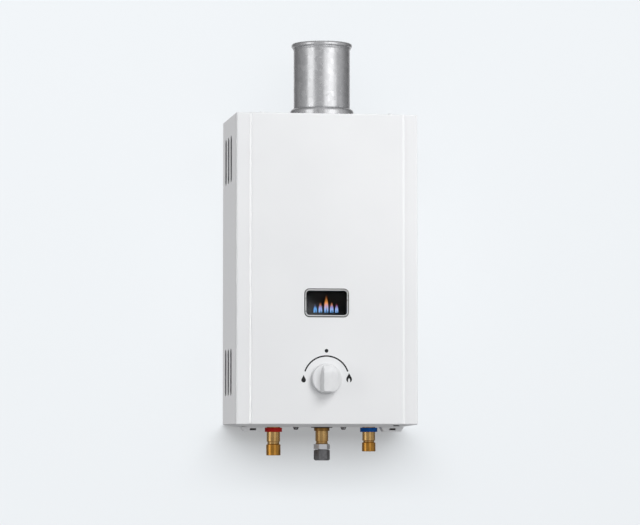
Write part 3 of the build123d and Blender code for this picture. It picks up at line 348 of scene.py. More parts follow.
# %% White enamel
def enamelled(name, tints, smooth, rough, cloud, peel):
    material, shader = start_finish(name)
    cloud_scale, cloud_detail = cloud
    peel_scale, peel_detail, peel_depth = peel
    broad = pattern(material, NOISE, cloud_scale, detail=cloud_detail)
    fine = pattern(material, NOISE, peel_scale, detail=peel_detail)
    tint(material, shader, broad.outputs["Fac"], *tints)
    spread(material, shader, broad.outputs["Fac"], smooth, rough)
    relief(material, shader, fine.outputs["Fac"], peel_depth)
    finishes[name] = material
    return shader


casing_tints = (0.800, 0.805, 0.815), (0.825, 0.830, 0.838)
shader = enamelled("white_enamel", casing_tints, 0.30, 0.38, (7, 2), (420, 1, 0.000012))
shader.inputs["Coat Weight"].default_value = 0.8
shader.inputs["Coat Roughness"].default_value = 0.10
pan_tints = (0.73, 0.735, 0.745), (0.78, 0.785, 0.795)
shader = enamelled("pan_enamel", pan_tints, 0.58, 0.70, (11, 3), (700, 2, 0.00002))
shader.inputs["Specular IOR Level"].default_value = 0.25
print("made", list(finishes))

# %% [markdown]
# Hot-dip zinc freezes into crystals, called spangle, a few millimetres across. Voronoi cells with a random
# grey each make a good spangle; the same cells vary the roughness, so neighbours catch the light
# differently. Thin sheet is never quite flat, so a long soft noise bends the reflections a little.

# %% Galvanised sheet
def zinc_sheet(name, dark, light, smooth, rough, wave_depth):
    material, shader = start_finish(name, metallic=1.0)
    spangle = pattern(material, CELLS, 150, stretch=(1, 1, 0.8))
    wave = pattern(material, NOISE, 26, stretch=(1, 1, 0.45), detail=2)
    grain = pattern(material, NOISE, 900, detail=2)
    split = material.node_tree.nodes.new("ShaderNodeSeparateColor")
    material.node_tree.links.new(spangle.outputs["Color"], split.inputs["Color"])
    tint(material, shader, split.outputs["Red"], dark, light, 0.0, 1.0)
    spread(material, shader, split.outputs["Green"], smooth, rough)
    relief(material, shader, wave.outputs["Fac"], wave_depth)
    relief(material, shader, grain.outputs["Fac"], 0.000004)
    return material


add_finishes(
    zinc_sheet,
    ("galvanised", (0.60, 0.61, 0.62), (0.72, 0.73, 0.745), 0.30, 0.42, 0.0004),
    ("flue_zinc", (0.68, 0.685, 0.695), (0.80, 0.805, 0.815), 0.20, 0.28, 0.0003),
)

# %% [markdown]
# Turned brass shows fine tool rings round its axis, copper tube is duller with brown patches, and cast
# valve metal is grainy. The rings are a noise that is squeezed along Z, so that it changes quickly up the
# piece and hardly round it. That keeps the long upright highlights of a turned surface.

# %% Brass, copper and cast metal
def turned_metal(name, dark, light, smooth, rough, ring_depth, coat=0.0):
    material, shader = start_finish(name, metallic=1.0)
    patches = pattern(material, NOISE, 160, detail=3)
    rings = pattern(material, NOISE, 60, stretch=(0.4, 0.4, 40), detail=2)
    tint(material, shader, patches.outputs["Fac"], dark, light)
    spread(material, shader, patches.outputs["Fac"], smooth, rough)
    relief(material, shader, rings.outputs["Fac"], ring_depth)
    shader.inputs["Coat Weight"].default_value = coat
    shader.inputs["Coat Roughness"].default_value = 0.15
    return material


add_finishes(
    turned_metal,
    ("brass", (0.46, 0.215, 0.026), (0.56, 0.265, 0.040), 0.20, 0.28, 0.000008, 0.4),
    ("pale_brass", (0.50, 0.30, 0.095), (0.60, 0.37, 0.13), 0.20, 0.28, 0.000008, 0.6),
    ("dark_brass", (0.22, 0.11, 0.020), (0.31, 0.16, 0.036), 0.26, 0.36, 0.00001, 0.4),
    ("copper", (0.44, 0.19, 0.11), (0.66, 0.33, 0.21), 0.28, 0.45, 0.00001),
    ("nickel_steel", (0.74, 0.75, 0.77), (0.84, 0.85, 0.87), 0.28, 0.40, 0.00001),
    ("dark_steel", (0.19, 0.19, 0.195), (0.27, 0.27, 0.275), 0.34, 0.48, 0.00002),
    ("valve_casting", (0.42, 0.42, 0.43), (0.58, 0.58, 0.59), 0.45, 0.60, 0.00006),
)

# %% [markdown]
# Inside there is plain sheet steel, which carries fine rolling lines. What stands round the flames is near
# black: soot from the heat, and painted shade for the closed chamber behind the glass. The frame round the
# window is satin metal, brushed along its length. Noise that is stretched along one axis makes such lines.

# %% Plain, brushed and blackened steel
def lined_metal(name, dark, light, smooth, rough, stretch, depth, metallic=1.0):
    material, shader = start_finish(name, metallic=metallic)
    lines = pattern(material, NOISE, 300, stretch=stretch, detail=3)
    broad = pattern(material, NOISE, 24, detail=3)
    tint(material, shader, broad.outputs["Fac"], dark, light)
    spread(material, shader, lines.outputs["Fac"], smooth, rough)
    relief(material, shader, lines.outputs["Fac"], depth)
    return material


along_x, along_z, soot_and_shade_run, even_grain = (0.06, 1, 1), (1, 1, 0.06), (1, 1, 0.2), (1, 1, 1)
add_finishes(
    lined_metal,
    ("steel", (0.46, 0.46, 0.47), (0.58, 0.58, 0.59), 0.34, 0.50, along_z, 0.000008),
    ("bezel_metal", (0.76, 0.76, 0.755), (0.84, 0.84, 0.835), 0.24, 0.36, along_x, 0.000006, 0.55),
    ("dark_screws", (0.10, 0.10, 0.105), (0.16, 0.16, 0.165), 0.22, 0.32, even_grain, 0.00001, 0.85),
    # near black for what stands round the flames: soot, and painted shade of the closed chamber
    ("soot_and_shade_black", (0.010, 0.010, 0.011), (0.030, 0.027, 0.025), 0.55, 0.80, soot_and_shade_run, 0.00002, 0.5),
)

# %% [markdown]
# Moulded plastic is never one flat colour: the pigment clouds a little and the mould leaves a fine
# texture. The knob and the battery door are white, the rings on the pipes tell hot from cold by red and
# blue, and the boxes inside are black. The ink of the dial is a little uneven in the same way, as screen
# print is. One helper makes all of these.

# %% Plastics, rubber, ceramic and ink
def moulded(name, dark, light, smooth, rough, texture_scale, depth, gloss=0.5):
    material, shader = start_finish(name)
    shader.inputs["Specular IOR Level"].default_value = gloss
    cloud = pattern(material, NOISE, 45, detail=3)
    skin = pattern(material, NOISE, texture_scale, detail=1)
    tint(material, shader, cloud.outputs["Fac"], dark, light)
    spread(material, shader, cloud.outputs["Fac"], smooth, rough)
    relief(material, shader, skin.outputs["Fac"], depth)
    return material


add_finishes(
    moulded,
    ("knob_plastic", (0.715, 0.720, 0.730), (0.750, 0.755, 0.762), 0.34, 0.44, 1400, 0.000006),
    ("red_plastic", (0.48, 0.014, 0.010), (0.62, 0.026, 0.018), 0.30, 0.42, 1100, 0.000012, 0.12),
    ("blue_plastic", (0.002, 0.062, 0.28), (0.004, 0.098, 0.39), 0.30, 0.42, 1100, 0.000012, 0.12),
    ("black_plastic", (0.016, 0.016, 0.017), (0.030, 0.030, 0.031), 0.42, 0.55, 1100, 0.00002),
    ("cell_sleeve", (0.05, 0.07, 0.09), (0.09, 0.12, 0.15), 0.24, 0.34, 700, 0.00001),
    ("rubber", (0.012, 0.012, 0.012), (0.026, 0.026, 0.026), 0.62, 0.80, 900, 0.00003),
    # near black for the window frame's outer slope: a seal, and painted shade
    ("seal_and_painted_shade", (0.030, 0.030, 0.030), (0.045, 0.045, 0.045), 0.5, 0.65, 900, 0.00002),
    ("ceramic", (0.74, 0.71, 0.66), (0.84, 0.82, 0.78), 0.22, 0.34, 800, 0.00001),
    ("dial_ink", (0.014, 0.0145, 0.0155), (0.024, 0.0245, 0.026), 0.50, 0.65, 1600, 0.000004, 0.3),
)

# %% [markdown]
# The sight glass is a flat pane with a coating that takes most of its reflection away, which a low index
# of refraction stands for. Soot leaves a haze on it, as a slow change of roughness, and towards its lower
# left corner a dull pale share is mixed in, which makes that corner lighter.

# %% Sight glass
glass, shader = start_finish("sight_glass", roughness=0.02)
shader.inputs["Base Color"].default_value = (0.93, 0.94, 0.94, 1)
shader.inputs["Transmission Weight"].default_value = 1.0
shader.inputs["IOR"].default_value = 1.11
haze = pattern(glass, NOISE, 60, detail=2)
spread(glass, shader, haze.outputs["Fac"], 0.015, 0.05)
towards_corner = (-0.6, 0, -0.8)
# a dull pale share, growing towards the lower left corner, lightens that corner
pale_corner_from, pale_corner_to, pale_corner_share = 0.050, 0.079, 0.07
tree = glass.node_tree
corner = tree.nodes.new("ShaderNodeTexCoord")
slope = tree.nodes.new("ShaderNodeVectorMath")
slope.operation = "DOT_PRODUCT"
slope.inputs[1].default_value = towards_corner
tree.links.new(corner.outputs["Object"], slope.inputs[0])
pale_corner_fade = remap(tree, slope.outputs["Value"], pale_corner_from, pale_corner_to, 0, pale_corner_share)
pale_corner_layer = coloured(tree, "ShaderNodeBsdfDiffuse", (0.62, 0.64, 0.68))
pane = mix(tree, pale_corner_fade, shader.outputs["BSDF"], pale_corner_layer.outputs["BSDF"])
tree.links.new(pane, tree.nodes["Material Output"].inputs["Surface"])
finishes["sight_glass"] = glass
print("made", glass.name)

# %% [markdown]
# The record tells which finish each solid has. What stands round the flames is dressed after that in near
# black, which is soot and painted shade: without it the window would look into a bright copper box.

# %% Dress the solids
def dress(piece, finish):
    if not piece.material_slots:
        piece.data.materials.append(finish)
    for slot in piece.material_slots:
        slot.material = finish


for row in frame["record"]["subparts"]:
    dress(nodes_of_heater[row["node"]], finishes[row["material_slot"]])
# these pieces inside the chamber get the near-black finish: soot and painted shade
for name in ("combustion_chamber", "burner_bars", "burner_frame", "hx_fins"):
    dress(nodes_of_heater[name], finishes["soot_and_shade_black"])
dress(nodes_of_heater["bottom_pan"], finishes["pan_enamel"])
dress(nodes_of_heater["cover_screws"], finishes["white_enamel"])

# %% [markdown]
# Inside the gas valve a coil spring holds the disc on its seat. When water pushes the rod, the disc moves
# four millimetres and the spring gets shorter by as much. Here the spring only gets a mesh of its own.

# %% Spring of the gas valve
spring = nodes_of_heater["gas_valve_spring"]
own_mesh(spring)

# %% [markdown]
# Most of what shows below and above the casing was made on a lathe or by spinning, so two helpers do the
# same here. One draws a line of edges by extruding a single vertex from point to point, as one would by
# hand. The other spins such a line round an axis, merges the seam and turns all faces outwards. Profiles
# are written in millimetres, from the axis and from the middle of the casing. Small helpers beside them
# bend a row of points, pick a piece, and settle it with its finish and the body it rides on.

# %% Helpers that draw and turn a profile
seed_size = 0.2 * mm
merge_gap = 0.002 * mm


def apply_place():
    bpy.ops.object.transform_apply(location=True, rotation=True, scale=True)


def trace(name, points):
    bpy.ops.object.select_all(action="DESELECT")
    bpy.ops.mesh.primitive_plane_add(size=seed_size, location=points[0])
    piece = bpy.context.object
    piece.name = name
    apply_place()
    bpy.ops.object.mode_set(mode="EDIT")
    bpy.ops.mesh.select_mode(type="VERT")
    bpy.ops.mesh.select_all(action="SELECT")
    bpy.ops.mesh.merge(type="CENTER")
    for start, end in zip(points, points[1:]):
        step = Vector(end) - Vector(start)
        bpy.ops.mesh.extrude_region_move(TRANSFORM_OT_translate={"value": step})
    return piece


def merge_all():
    bpy.ops.mesh.select_all(action="SELECT")
    bpy.ops.mesh.remove_doubles(threshold=merge_gap)


def close_shell():
    merge_all()
    bpy.ops.mesh.normals_make_consistent(inside=False)
    bpy.ops.object.mode_set(mode="OBJECT")


def turn_upright(name, centre, profile, steps=80):
    points = [(centre[0] + radius * mm, centre[1], level * mm) for radius, level in profile]
    piece = trace(name, points)
    bpy.ops.mesh.select_all(action="SELECT")
    bpy.ops.mesh.spin(
        steps=steps, angle=2 * math.pi, center=(centre[0], centre[1], 0), axis=(0, 0, 1)
    )
    close_shell()
    return piece


def bend(centre_r, centre_z, radius, start, end, count):
    turns = [math.radians(start + (end - start) * i / count) for i in range(count + 1)]
    return [(centre_r + radius * math.cos(a), centre_z + radius * math.sin(a)) for a in turns]


def pick(piece):
    bpy.ops.object.select_all(action="DESELECT")
    piece.select_set(True)
    bpy.context.view_layer.objects.active = piece


def settle(piece, finish, body, replaced=(), crease=32):
    pick(piece)
    bpy.ops.object.shade_smooth_by_angle(angle=math.radians(crease))
    piece.data.materials.clear()
    piece.data.materials.append(finish)
    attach(piece, body)
    if replaced:
        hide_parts(*replaced)
    print(piece.name, "has", len(piece.data.polygons), "faces and rides on", body)


service_y = -113.0 * mm
print("pipes and flue stand", -service_y, "m in front of the wall")

# %% [markdown]
# The flue collar is thin zinc sheet, rolled into a tube, with a bead and a small shoulder rolled into its
# rim and a wider round foot pressed at its base. A narrow groove parts the foot from the tube. It could
# be a plain cylinder with loops pushed out, but a drawn profile gives the exact bead, and one spin then
# makes the whole wall.

# %% Flue collar
flue_r = 45.0
flue_bore = 44.2
flue_top = 363.0
bead_low = 355.8
bead_out = 3.6
bead_fullness = 0.8
roof = 244.5
foot_r = 51.0
foot_lip = foot_r + 1.2
foot_bend = 6.0
step_level = 251.8
flue_neck = 258.0
wall_thick = 0.8

bead_mid = (flue_top + bead_low) / 2
bead_half = (flue_top - bead_low) / 2
bead_turns = [math.radians(a) for a in range(-84, 85, 12)]
bead = [
    (flue_r + bead_out * math.cos(a) ** bead_fullness, bead_mid + bead_half * math.sin(a))
    for a in bead_turns
]
profile = [(flue_bore, flue_top), (flue_bore, flue_neck)]
profile += [(foot_r - wall_thick, step_level), (foot_r - wall_thick, roof)]
profile += [(foot_lip, roof), (foot_lip, roof + wall_thick)]
profile += [(foot_r, roof + wall_thick + 0.6), (foot_r, step_level)]
profile += bend(foot_r - foot_bend, step_level, foot_bend, 0, 84, 9)
profile += [(flue_r - 0.3, flue_neck + 0.2), (flue_r - 0.35, flue_neck + 0.6)]
profile += [(flue_r - 0.05, flue_neck + 1.0), (flue_r, flue_neck + 1.5), (flue_r, flue_neck + 2.8)]
profile += [(flue_r, 351.4)]
profile += [(45.0, 352.4), (45.25, 352.9), (45.9, 353.7), (46.3, 354.5), (46.3, 355.1), (45.7, 355.6)]
profile += bead + [(flue_r - 0.2, flue_top), (flue_bore, flue_top)]
flue = turn_upright("flue_tube", (0, service_y), profile, steps=128)
settle(flue, finishes["flue_zinc"], "heater", ["flue_collar"], crease=40)

# %% [markdown]
# A rolled tube needs a seam: the sheet's end laps over its start and a row of spot welds holds it. The lap
# is a small upright face that is spun through ten degrees, and each weld is a flattened sphere sunk into
# it. On the real collar this sits a little left of the front.

# %% Lap seam and spot welds
def on_flue(radius, degrees, level):
    turn = math.radians(degrees)
    return (radius * mm * math.cos(turn), service_y + radius * mm * math.sin(turn), level * mm)


def filled(name, points):
    piece = trace(name, points + points[:1])
    merge_all()
    bpy.ops.mesh.edge_face_add()
    return piece


def join_to(piece, others):
    pick(piece)
    for other in others:
        other.select_set(True)
    bpy.ops.object.join()


seam_middle = -102
seam_half = 5
seam_low = flue_neck + 2.0
seam_high = 352.2
lap = 0.25
weld_r = 1.5
weld_flat = 0.10
weld_levels = [seam_low + 5 + 10.2 * index for index in range(9)]

lap_section = ((0, seam_low), (lap, seam_low), (lap, seam_high), (0, seam_high))
corners = [on_flue(flue_r + rise, seam_middle - seam_half, level) for rise, level in lap_section]
seam = filled("flue_seam", corners)
bpy.ops.mesh.spin(
    steps=8, angle=math.radians(2 * seam_half), center=(0, service_y, 0), axis=(0, 0, 1)
)
close_shell()
welds = []
for level in weld_levels:
    bpy.ops.object.select_all(action="DESELECT")
    bpy.ops.mesh.primitive_uv_sphere_add(
        segments=16, ring_count=8, radius=weld_r * mm,
        location=on_flue(flue_r + 0.22, seam_middle, level), rotation=(0, 0, math.radians(seam_middle)),
    )
    bpy.context.object.scale = (weld_flat, 1, 1)
    apply_place()
    welds.append(bpy.context.object)
join_to(seam, welds)
settle(seam, finishes["flue_zinc"], "heater", crease=40)

# %% [markdown]
# The rings under the pan are moulded in red and blue so that nobody swaps the pipes. They have rounded
# edges and a shallow groove. One is turned and the other is a copy with its own mesh, moved to the other
# side, because both come from one mould.

# %% Rings on the water ends
def copy_moved(piece, step):
    pick(piece)
    bpy.ops.object.duplicate_move(TRANSFORM_OT_translate={"value": step})
    apply_place()
    return bpy.context.object


hot_x = -77.7 * mm
cold_x = 75.7 * mm
ring_r = 13.9
ring_top = -250.4
ring_low = -257.3
ring_bore = 10.85
edge = 0.9
groove_r = ring_r - 0.15

profile = [(ring_bore, ring_low), (ring_r - edge, ring_low)]
profile += bend(ring_r - edge, ring_low + edge, edge, -75, 0, 5)
profile += [(ring_r, ring_low + 1.5), (groove_r, ring_low + 1.7)]
profile += [(groove_r, ring_top - 1.7), (ring_r, ring_top - 1.5)]
profile += bend(ring_r - edge, ring_top - edge, edge, 0, 75, 5)
profile += [(ring_r - edge, ring_top), (ring_bore, ring_top), (ring_bore, ring_low)]
hot_ring = turn_upright("hot_ring_red", (hot_x, service_y), profile)
cold_ring = copy_moved(hot_ring, (cold_x - hot_x, 0, 0))
cold_ring.name = "cold_ring_blue"
settle(hot_ring, finishes["red_plastic"], "heater", ["hot_ring"])
settle(cold_ring, finishes["blue_plastic"], "heater", ["cold_ring"])

# %% [markdown]
# The two water ends are turned from brass bar: a neck through the pan, a narrow groove for a seal, and a
# plain spigot with a broken edge. The neck gets a paler brass than the spigot. One function turns both,
# since only their sizes differ.

# %% Hot and cold water ends
water_bore = 6.0


def lip(radius, level, size, start, end):
    return bend(radius - size, level, size, start, end, 5)


def water_end(name, x, top, socket, neck, groove, spigot, low):
    socket_r, socket_low = socket
    neck_r, neck_low = neck
    groove_r, groove_top, groove_low = groove
    spigot_r, spigot_top = spigot
    rows = [(water_bore, socket_low), (socket_r, socket_low), (socket_r, top), (neck_r - 0.4, top)]
    rows += [(neck_r, top - 0.4), (neck_r, neck_low + 0.5)]
    rows += lip(neck_r, neck_low + 0.3, 0.6, 0, -50) + [(groove_r + 0.2, groove_top + 0.1)]
    rows += [(groove_r, groove_top - 0.3), (groove_r, groove_low + 0.3)]
    rows += [(groove_r + 0.2, groove_low - 0.1)]
    rows += lip(spigot_r, spigot_top - 0.3, 0.6, 50, 0) + [(spigot_r, low + 1.0)]
    rows += lip(spigot_r, low + 1.0, 1.0, -15, -80) + [(water_bore + 0.8, low), (water_bore, low + 0.8)]
    rows += [(water_bore, socket_low)]
    return turn_upright(name, (x, service_y), rows)


def second_finish(piece, finish, wanted):
    piece.data.materials.append(finish)
    for face in piece.data.polygons:
        if wanted(face):
            face.material_index = 1


hot_end = water_end(
    "hot_water_end", hot_x, -230.4, (7.05, -242.4),
    (10.8, -272.3), (9.6, -273.5, -276.3), (11.5, -277.5), -294.5,
)
cold_end = water_end(
    "cold_water_end", cold_x, -211.0, (6.6, -212.0),
    (10.4, -270.7), (8.9, -271.9, -273.3), (10.9, -274.5), -288.3,
)
settle(hot_end, finishes["pale_brass"], "heater", ["hot_outlet_fitting"], crease=28)
settle(cold_end, finishes["pale_brass"], "heater", ["cold_inlet_fitting"], crease=28)
# below the groove the spigot gets a deeper brass than the paler neck
second_finish(hot_end, finishes["brass"], lambda face: face.center.z < -275 * mm)
second_finish(cold_end, finishes["brass"], lambda face: face.center.z < -272.6 * mm)

# %% [markdown]
# The gas end is the same brass with a collar against the pan and a small bead above the adapter. A thin
# rubber grommet closes the gap between the collar and the pan; from below it shows as a dark line.

# %% Gas end and its grommet
rows = [(6.0, -248.0), (6.0, -198.0), (10.0, -198.0), (10.4, -198.4), (10.4, -249.4), (11.9, -249.4)]
rows += bend(11.9, -250.0, 0.6, 90, 0, 4) + bend(11.9, -255.1, 0.6, 0, -90, 4) + [(10.4, -255.7)]
rows += [(10.4, -271.2)] + bend(9.8, -271.2, 0.6, 0, -60, 4) + [(9.4, -272.4), (9.3, -274.2)]
rows += [(9.5, -274.7)] + bend(9.6, -275.5, 0.6, 80, -60, 6)
rows += [(9.3, -276.5), (6.0, -276.5), (6.0, -248.0)]
gas_end = turn_upright("gas_end", (0, service_y), rows)
settle(gas_end, finishes["pale_brass"], "heater", ["gas_inlet_fitting"], crease=28)
# the collar against the pan gets a darker brass
second_finish(gas_end, finishes["dark_brass"], lambda face: face.center.z > -255.8 * mm)

rows = [(12.6, -249.4), (16.4, -249.4)] + bend(16.5, -250.0, 0.6, 60, -90, 6) + [(13.2, -250.6)]
rows += [(12.6, -250.2), (12.6, -249.4)]
grommet = turn_upright("gas_grommet", (0, service_y), rows)
settle(grommet, finishes["rubber"], "heater")

# %% [markdown]
# Adapter and union nut are hexagon bar, turned at the ends and bored. The way to get their curved corner
# lines is the way a workshop gets them: turn a blank with its chamfers, then keep only what also lies
# inside a hexagon. A Boolean does that, and a small bevel breaks the edges. The nut swivels freely, so it
# simply stands at the turn that the photograph shows.

# %% Hexagon adapter and union nut
flats = 22.7 * mm
edge_break = 0.3 * mm
adapter_turn = 30
nut_turn = 31


def carve(piece, operation, other):
    pick(piece)
    cut = piece.modifiers.new("carve", "BOOLEAN")
    cut.operation = operation
    cut.object = other
    bpy.ops.object.modifier_apply(modifier=cut.name)
    bpy.data.objects.remove(other)


def hexed(blank, low, high, turn):
    bpy.ops.object.select_all(action="DESELECT")
    bpy.ops.mesh.primitive_cylinder_add(
        vertices=6, radius=flats / math.sqrt(3), depth=high - low,
        location=(0, service_y, (low + high) / 2), rotation=(0, 0, math.radians(turn)),
    )
    bar = bpy.context.object
    apply_place()
    carve(blank, "INTERSECT", bar)
    soften = blank.modifiers.new("soft_edges", "BEVEL")
    soften.width = edge_break
    soften.segments = 2
    soften.angle_limit = math.radians(40)
    bpy.ops.object.modifier_apply(modifier=soften.name)


rows = [(4.8, -292.2), (4.8, -276.5), (12.1, -276.5), (13.2, -277.1), (13.2, -284.2), (12.1, -284.9)]
rows += [(6.2, -284.9), (6.2, -290.2), (7.1, -290.2), (7.1, -292.2), (4.8, -292.2)]
adapter = turn_upright("gas_adapter_hex", (0, service_y), rows, steps=96)
hexed(adapter, -300 * mm, -270 * mm, adapter_turn)
settle(adapter, finishes["nickel_steel"], "heater", ["gas_adapter"], crease=25)

rows = [(6.5, -289.9), (6.5, -285.3), (10.9, -285.3), (13.2, -287.0), (13.2, -300.4), (10.7, -302.5)]
rows += [(8.3, -302.5), (7.5, -301.7), (7.5, -292.9), (8.4, -292.9), (8.4, -289.9), (6.5, -289.9)]
nut = turn_upright("gas_nut_hex", (0, service_y), rows, steps=96)
hexed(nut, -310 * mm, -280 * mm, nut_turn)
settle(nut, finishes["dark_steel"], "gas_nut", ["gas_union_nut"], crease=25)

# %% [markdown]
# Two dark, slightly shiny screws hold the pan. Each has a wide flange, a dome and a cross recess. The head
# is turned, the recess is cut with two crossed bars, and the second screw is a copy that is turned a
# little, as no two screws end up the same way round.

# %% Screws under the pan
screw_y = -91.0 * mm
screw_x = 38.35 * mm
dome_r, dome_top, dome_end = 4.0, -250.6, -254.0
dome_tall = dome_top - dome_end
recess_size = (3.8 * mm, 0.8 * mm, 3.2 * mm)
recess_turns = (25, 115)
second_turn = 33

rows = [(0.0, -243.4), (1.6, -243.4), (2.0, -243.8), (2.0, -249.4), (4.9, -249.4), (4.9, -250.0)]
rows += [(4.7, -250.3), (3.9, -250.5)]
dome_turns = [a * math.pi / 20 for a in range(10)]
rows += [(dome_r * math.cos(a) ** 0.55, dome_top - dome_tall * math.sin(a) ** 0.8) for a in dome_turns]
rows += [(0.0, dome_end)]
screws = turn_upright("pan_screws", (screw_x, screw_y), rows, steps=48)
for turn in recess_turns:
    bpy.ops.object.select_all(action="DESELECT")
    bpy.ops.mesh.primitive_cube_add(
        size=1, location=(screw_x, screw_y, dome_end * mm), rotation=(0, 0, math.radians(turn))
    )
    bar = bpy.context.object
    bar.scale = recess_size
    apply_place()
    carve(screws, "DIFFERENCE", bar)
second = copy_moved(screws, (-2 * screw_x, 0, 0))
bpy.ops.object.mode_set(mode="EDIT")
bpy.ops.mesh.select_all(action="SELECT")
middle = (-screw_x, screw_y, 0)
bpy.ops.transform.rotate(value=math.radians(second_turn), orient_axis="Z", center_override=middle)
bpy.ops.object.mode_set(mode="OBJECT")
join_to(screws, [second])
settle(screws, finishes["dark_screws"], "heater", ["bottom_screws"], crease=40)

# %% [markdown]
# The window frame is a pressed ring of satin metal. Its outer slope is near black: a dark seal under the
# edge, and painted shade and painted dark reflection where the slope turns away from the light. It is
# drawn as a rounded rectangle and extruded from row to row, each row with its own size and height, until
# it closes on itself. Rows are the plain way to a section that changes from slope to crest to lip.

# %% Window frame
window_x = -1.5 * mm
window_z = -54.4 * mm
shaded_slope_level = -173.95 * mm


def rounded_row(width, height, radius, y):
    row = []
    for quarter, (sx, sz) in enumerate(((1, 1), (-1, 1), (-1, -1), (1, -1))):
        for step in range(9):
            turn = math.radians(90 * quarter + 90 * step / 8)
            x = sx * (width / 2 - radius) + radius * math.cos(turn)
            z = sz * (height / 2 - radius) + radius * math.sin(turn)
            row.append(Vector((window_x + x * mm, y * mm, window_z + z * mm)))
    return row


def skin_rows(name, rows):
    piece = trace(name, rows[0] + rows[0][:1])
    merge_all()
    for before, after in zip(rows, rows[1:]):
        bpy.ops.mesh.extrude_edges_move()
        mesh = bmesh.from_edit_mesh(piece.data)
        for vert in mesh.verts:
            if vert.select:
                nearest = min(range(len(before)), key=lambda i: (vert.co - before[i]).length)
                vert.co = after[nearest]
        bmesh.update_edit_mesh(piece.data)
    close_shell()
    return piece


# picks the outer slope under the frame's edge, where the seal and the painted shade go
def shaded_outer_slope(face):
    outward = face.normal.x * (face.center.x - window_x) + face.normal.z * (face.center.z - window_z)
    return face.center.y > shaded_slope_level and outward > 0 and face.normal.y < 0.1


section = [
    (71.0, 45.4, 8.0, -173.0), (70.9, 45.3, 8.0, -173.3), (68.1, 42.5, 6.6, -173.9),
    (67.8, 42.2, 6.4, -174.3), (67.3, 41.6, 6.1, -174.6), (66.1, 40.1, 5.6, -174.6),
    (65.4, 39.0, 5.3, -174.3), (65.0, 38.4, 5.0, -173.7), (64.9, 38.3, 5.0, -172.0),
    (66.0, 39.4, 5.5, -172.0), (66.0, 39.4, 5.5, -173.0), (71.0, 45.4, 8.0, -173.0),
]
bezel = skin_rows("window_frame", [rounded_row(*row) for row in section])
settle(bezel, finishes["bezel_metal"], "heater", ["window_bezel"], crease=24)
# the outer slope gets the near-black finish: seal and painted shade
second_finish(bezel, finishes["seal_and_painted_shade"], shaded_outer_slope)

# %% [markdown]
# The knob is one moulding: a disc with a soft rim and a grip that starts flat at the top, grows into a
# steep wall on the left and runs out gently on the right, so that a thumb can push it. The grip is skinned
# from rows, one for each height, and trimmed to a circle. Booleans then join it to the disc and bore the
# hole for the spindle.

# %% Knob
knob_x, knob_z = -1.8, -174.0
knob_face = 181.6
grip_tall = 11.5
trim_r = 22.9
spindle_r, spindle_end = 4.05, 183.7
behind_knob, before_knob = 170, 200


def grip_row(level, tall):
    full = tall / grip_tall
    steep = -7.0 + 2.0 * (1 - full)
    outline = [(steep - 1.0 - 2.6 * full, -1.0), (steep - 0.8 - 2.6 * full, 0.0)]
    outline += [(steep - 2.5 * full, 0.08 * tall)]
    outline += [(steep, 0.93 * tall), (steep + 0.3, 0.985 * tall), (steep + 1.0, tall)]
    outline += [(2.6, tall), (4.4, 0.975 * tall)]
    outline += [(5.8, 0.90 * tall), (6.0 + 4.5 * full, 0.50 * tall), (6.0 + 8.0 * full, 0.16 * tall)]
    outline += [(6.4 + 10.5 * full, 0.0), (6.6 + 10.5 * full, -1.0)]
    return [Vector((knob_x + x, -knob_face - out, knob_z + level)) * mm for x, out in outline]


def knob_rod(radius, near, far):
    bpy.ops.object.select_all(action="DESELECT")
    bpy.ops.mesh.primitive_cylinder_add(
        vertices=128, radius=radius * mm, depth=(far - near) * mm,
        location=(knob_x * mm, -(near + far) / 2 * mm, knob_z * mm), rotation=upright,
    )
    rod = bpy.context.object
    apply_place()
    return rod


stations = [(-23.6, 0.3), (-23.0, 3.0), (-22.2, 7.0), (-21.2, 10.2), (-19.8, 11.4), (-18, 11.5), (4, 11.5)]
stations += [(9, 11.3), (12, 10.4), (15, 8.2), (17.5, 5.4), (19.5, 2.6), (21, 0.3)]
grip = skin_rows("control_grip", [grip_row(*station) for station in stations])
bpy.ops.object.mode_set(mode="EDIT")
bpy.ops.mesh.select_all(action="DESELECT")
bpy.ops.mesh.select_non_manifold()
bpy.ops.mesh.edge_face_add()
close_shell()
carve(grip, "INTERSECT", knob_rod(trim_r, behind_knob, before_knob))
rows = [(0.0, 173.6), (23.8, 173.6), (24.1, 174.0), (24.0, 175.4), (23.5, 179.6)]
rows += bend(21.8, 180.0, 1.6, 5, 85, 6) + [(21.6, knob_face), (0.0, knob_face)]
knob = turn_upright("control_disc", (0, 0), rows, steps=128)
knob.rotation_euler = upright
knob.location = (knob_x * mm, 0, knob_z * mm)
pick(knob)
apply_place()
carve(knob, "UNION", grip)
carve(knob, "DIFFERENCE", knob_rod(spindle_r, behind_knob, spindle_end))
settle(knob, finishes["knob_plastic"], "knob", ["control_knob"], crease=34)

# %% [markdown]
# Behind the glass the burner is lit. A gas flame is a thin glowing shell, so each flame is a turned
# teardrop that only gives off light, with a clear share mixed in. Its colour follows its height: blue at
# the foot, lilac above, and orange where dust glows in the tip. The middle flame stands tallest.

# %% Flames over the burner bars
flicker_scale = 260
flicker_tall = 0.005
core_half = 0.0030
core_rise = 1.6
hollow = [(0.25, (0.16,) * 3), (0.75, (1,) * 3)]
density = [(0, (0.5,) * 3), (0.1, (0.9,) * 3), (0.55, (0.8,) * 3), (1, (0,) * 3)]


# turns a colour of 0 to 255, as screens count, into Blender's linear values
def shade(red, green, blue):
    levels = [value / 255 for value in (red, green, blue)]
    return tuple(((v + 0.055) / 1.055) ** 2.4 if v > 0.04 else v / 12.92 for v in levels)


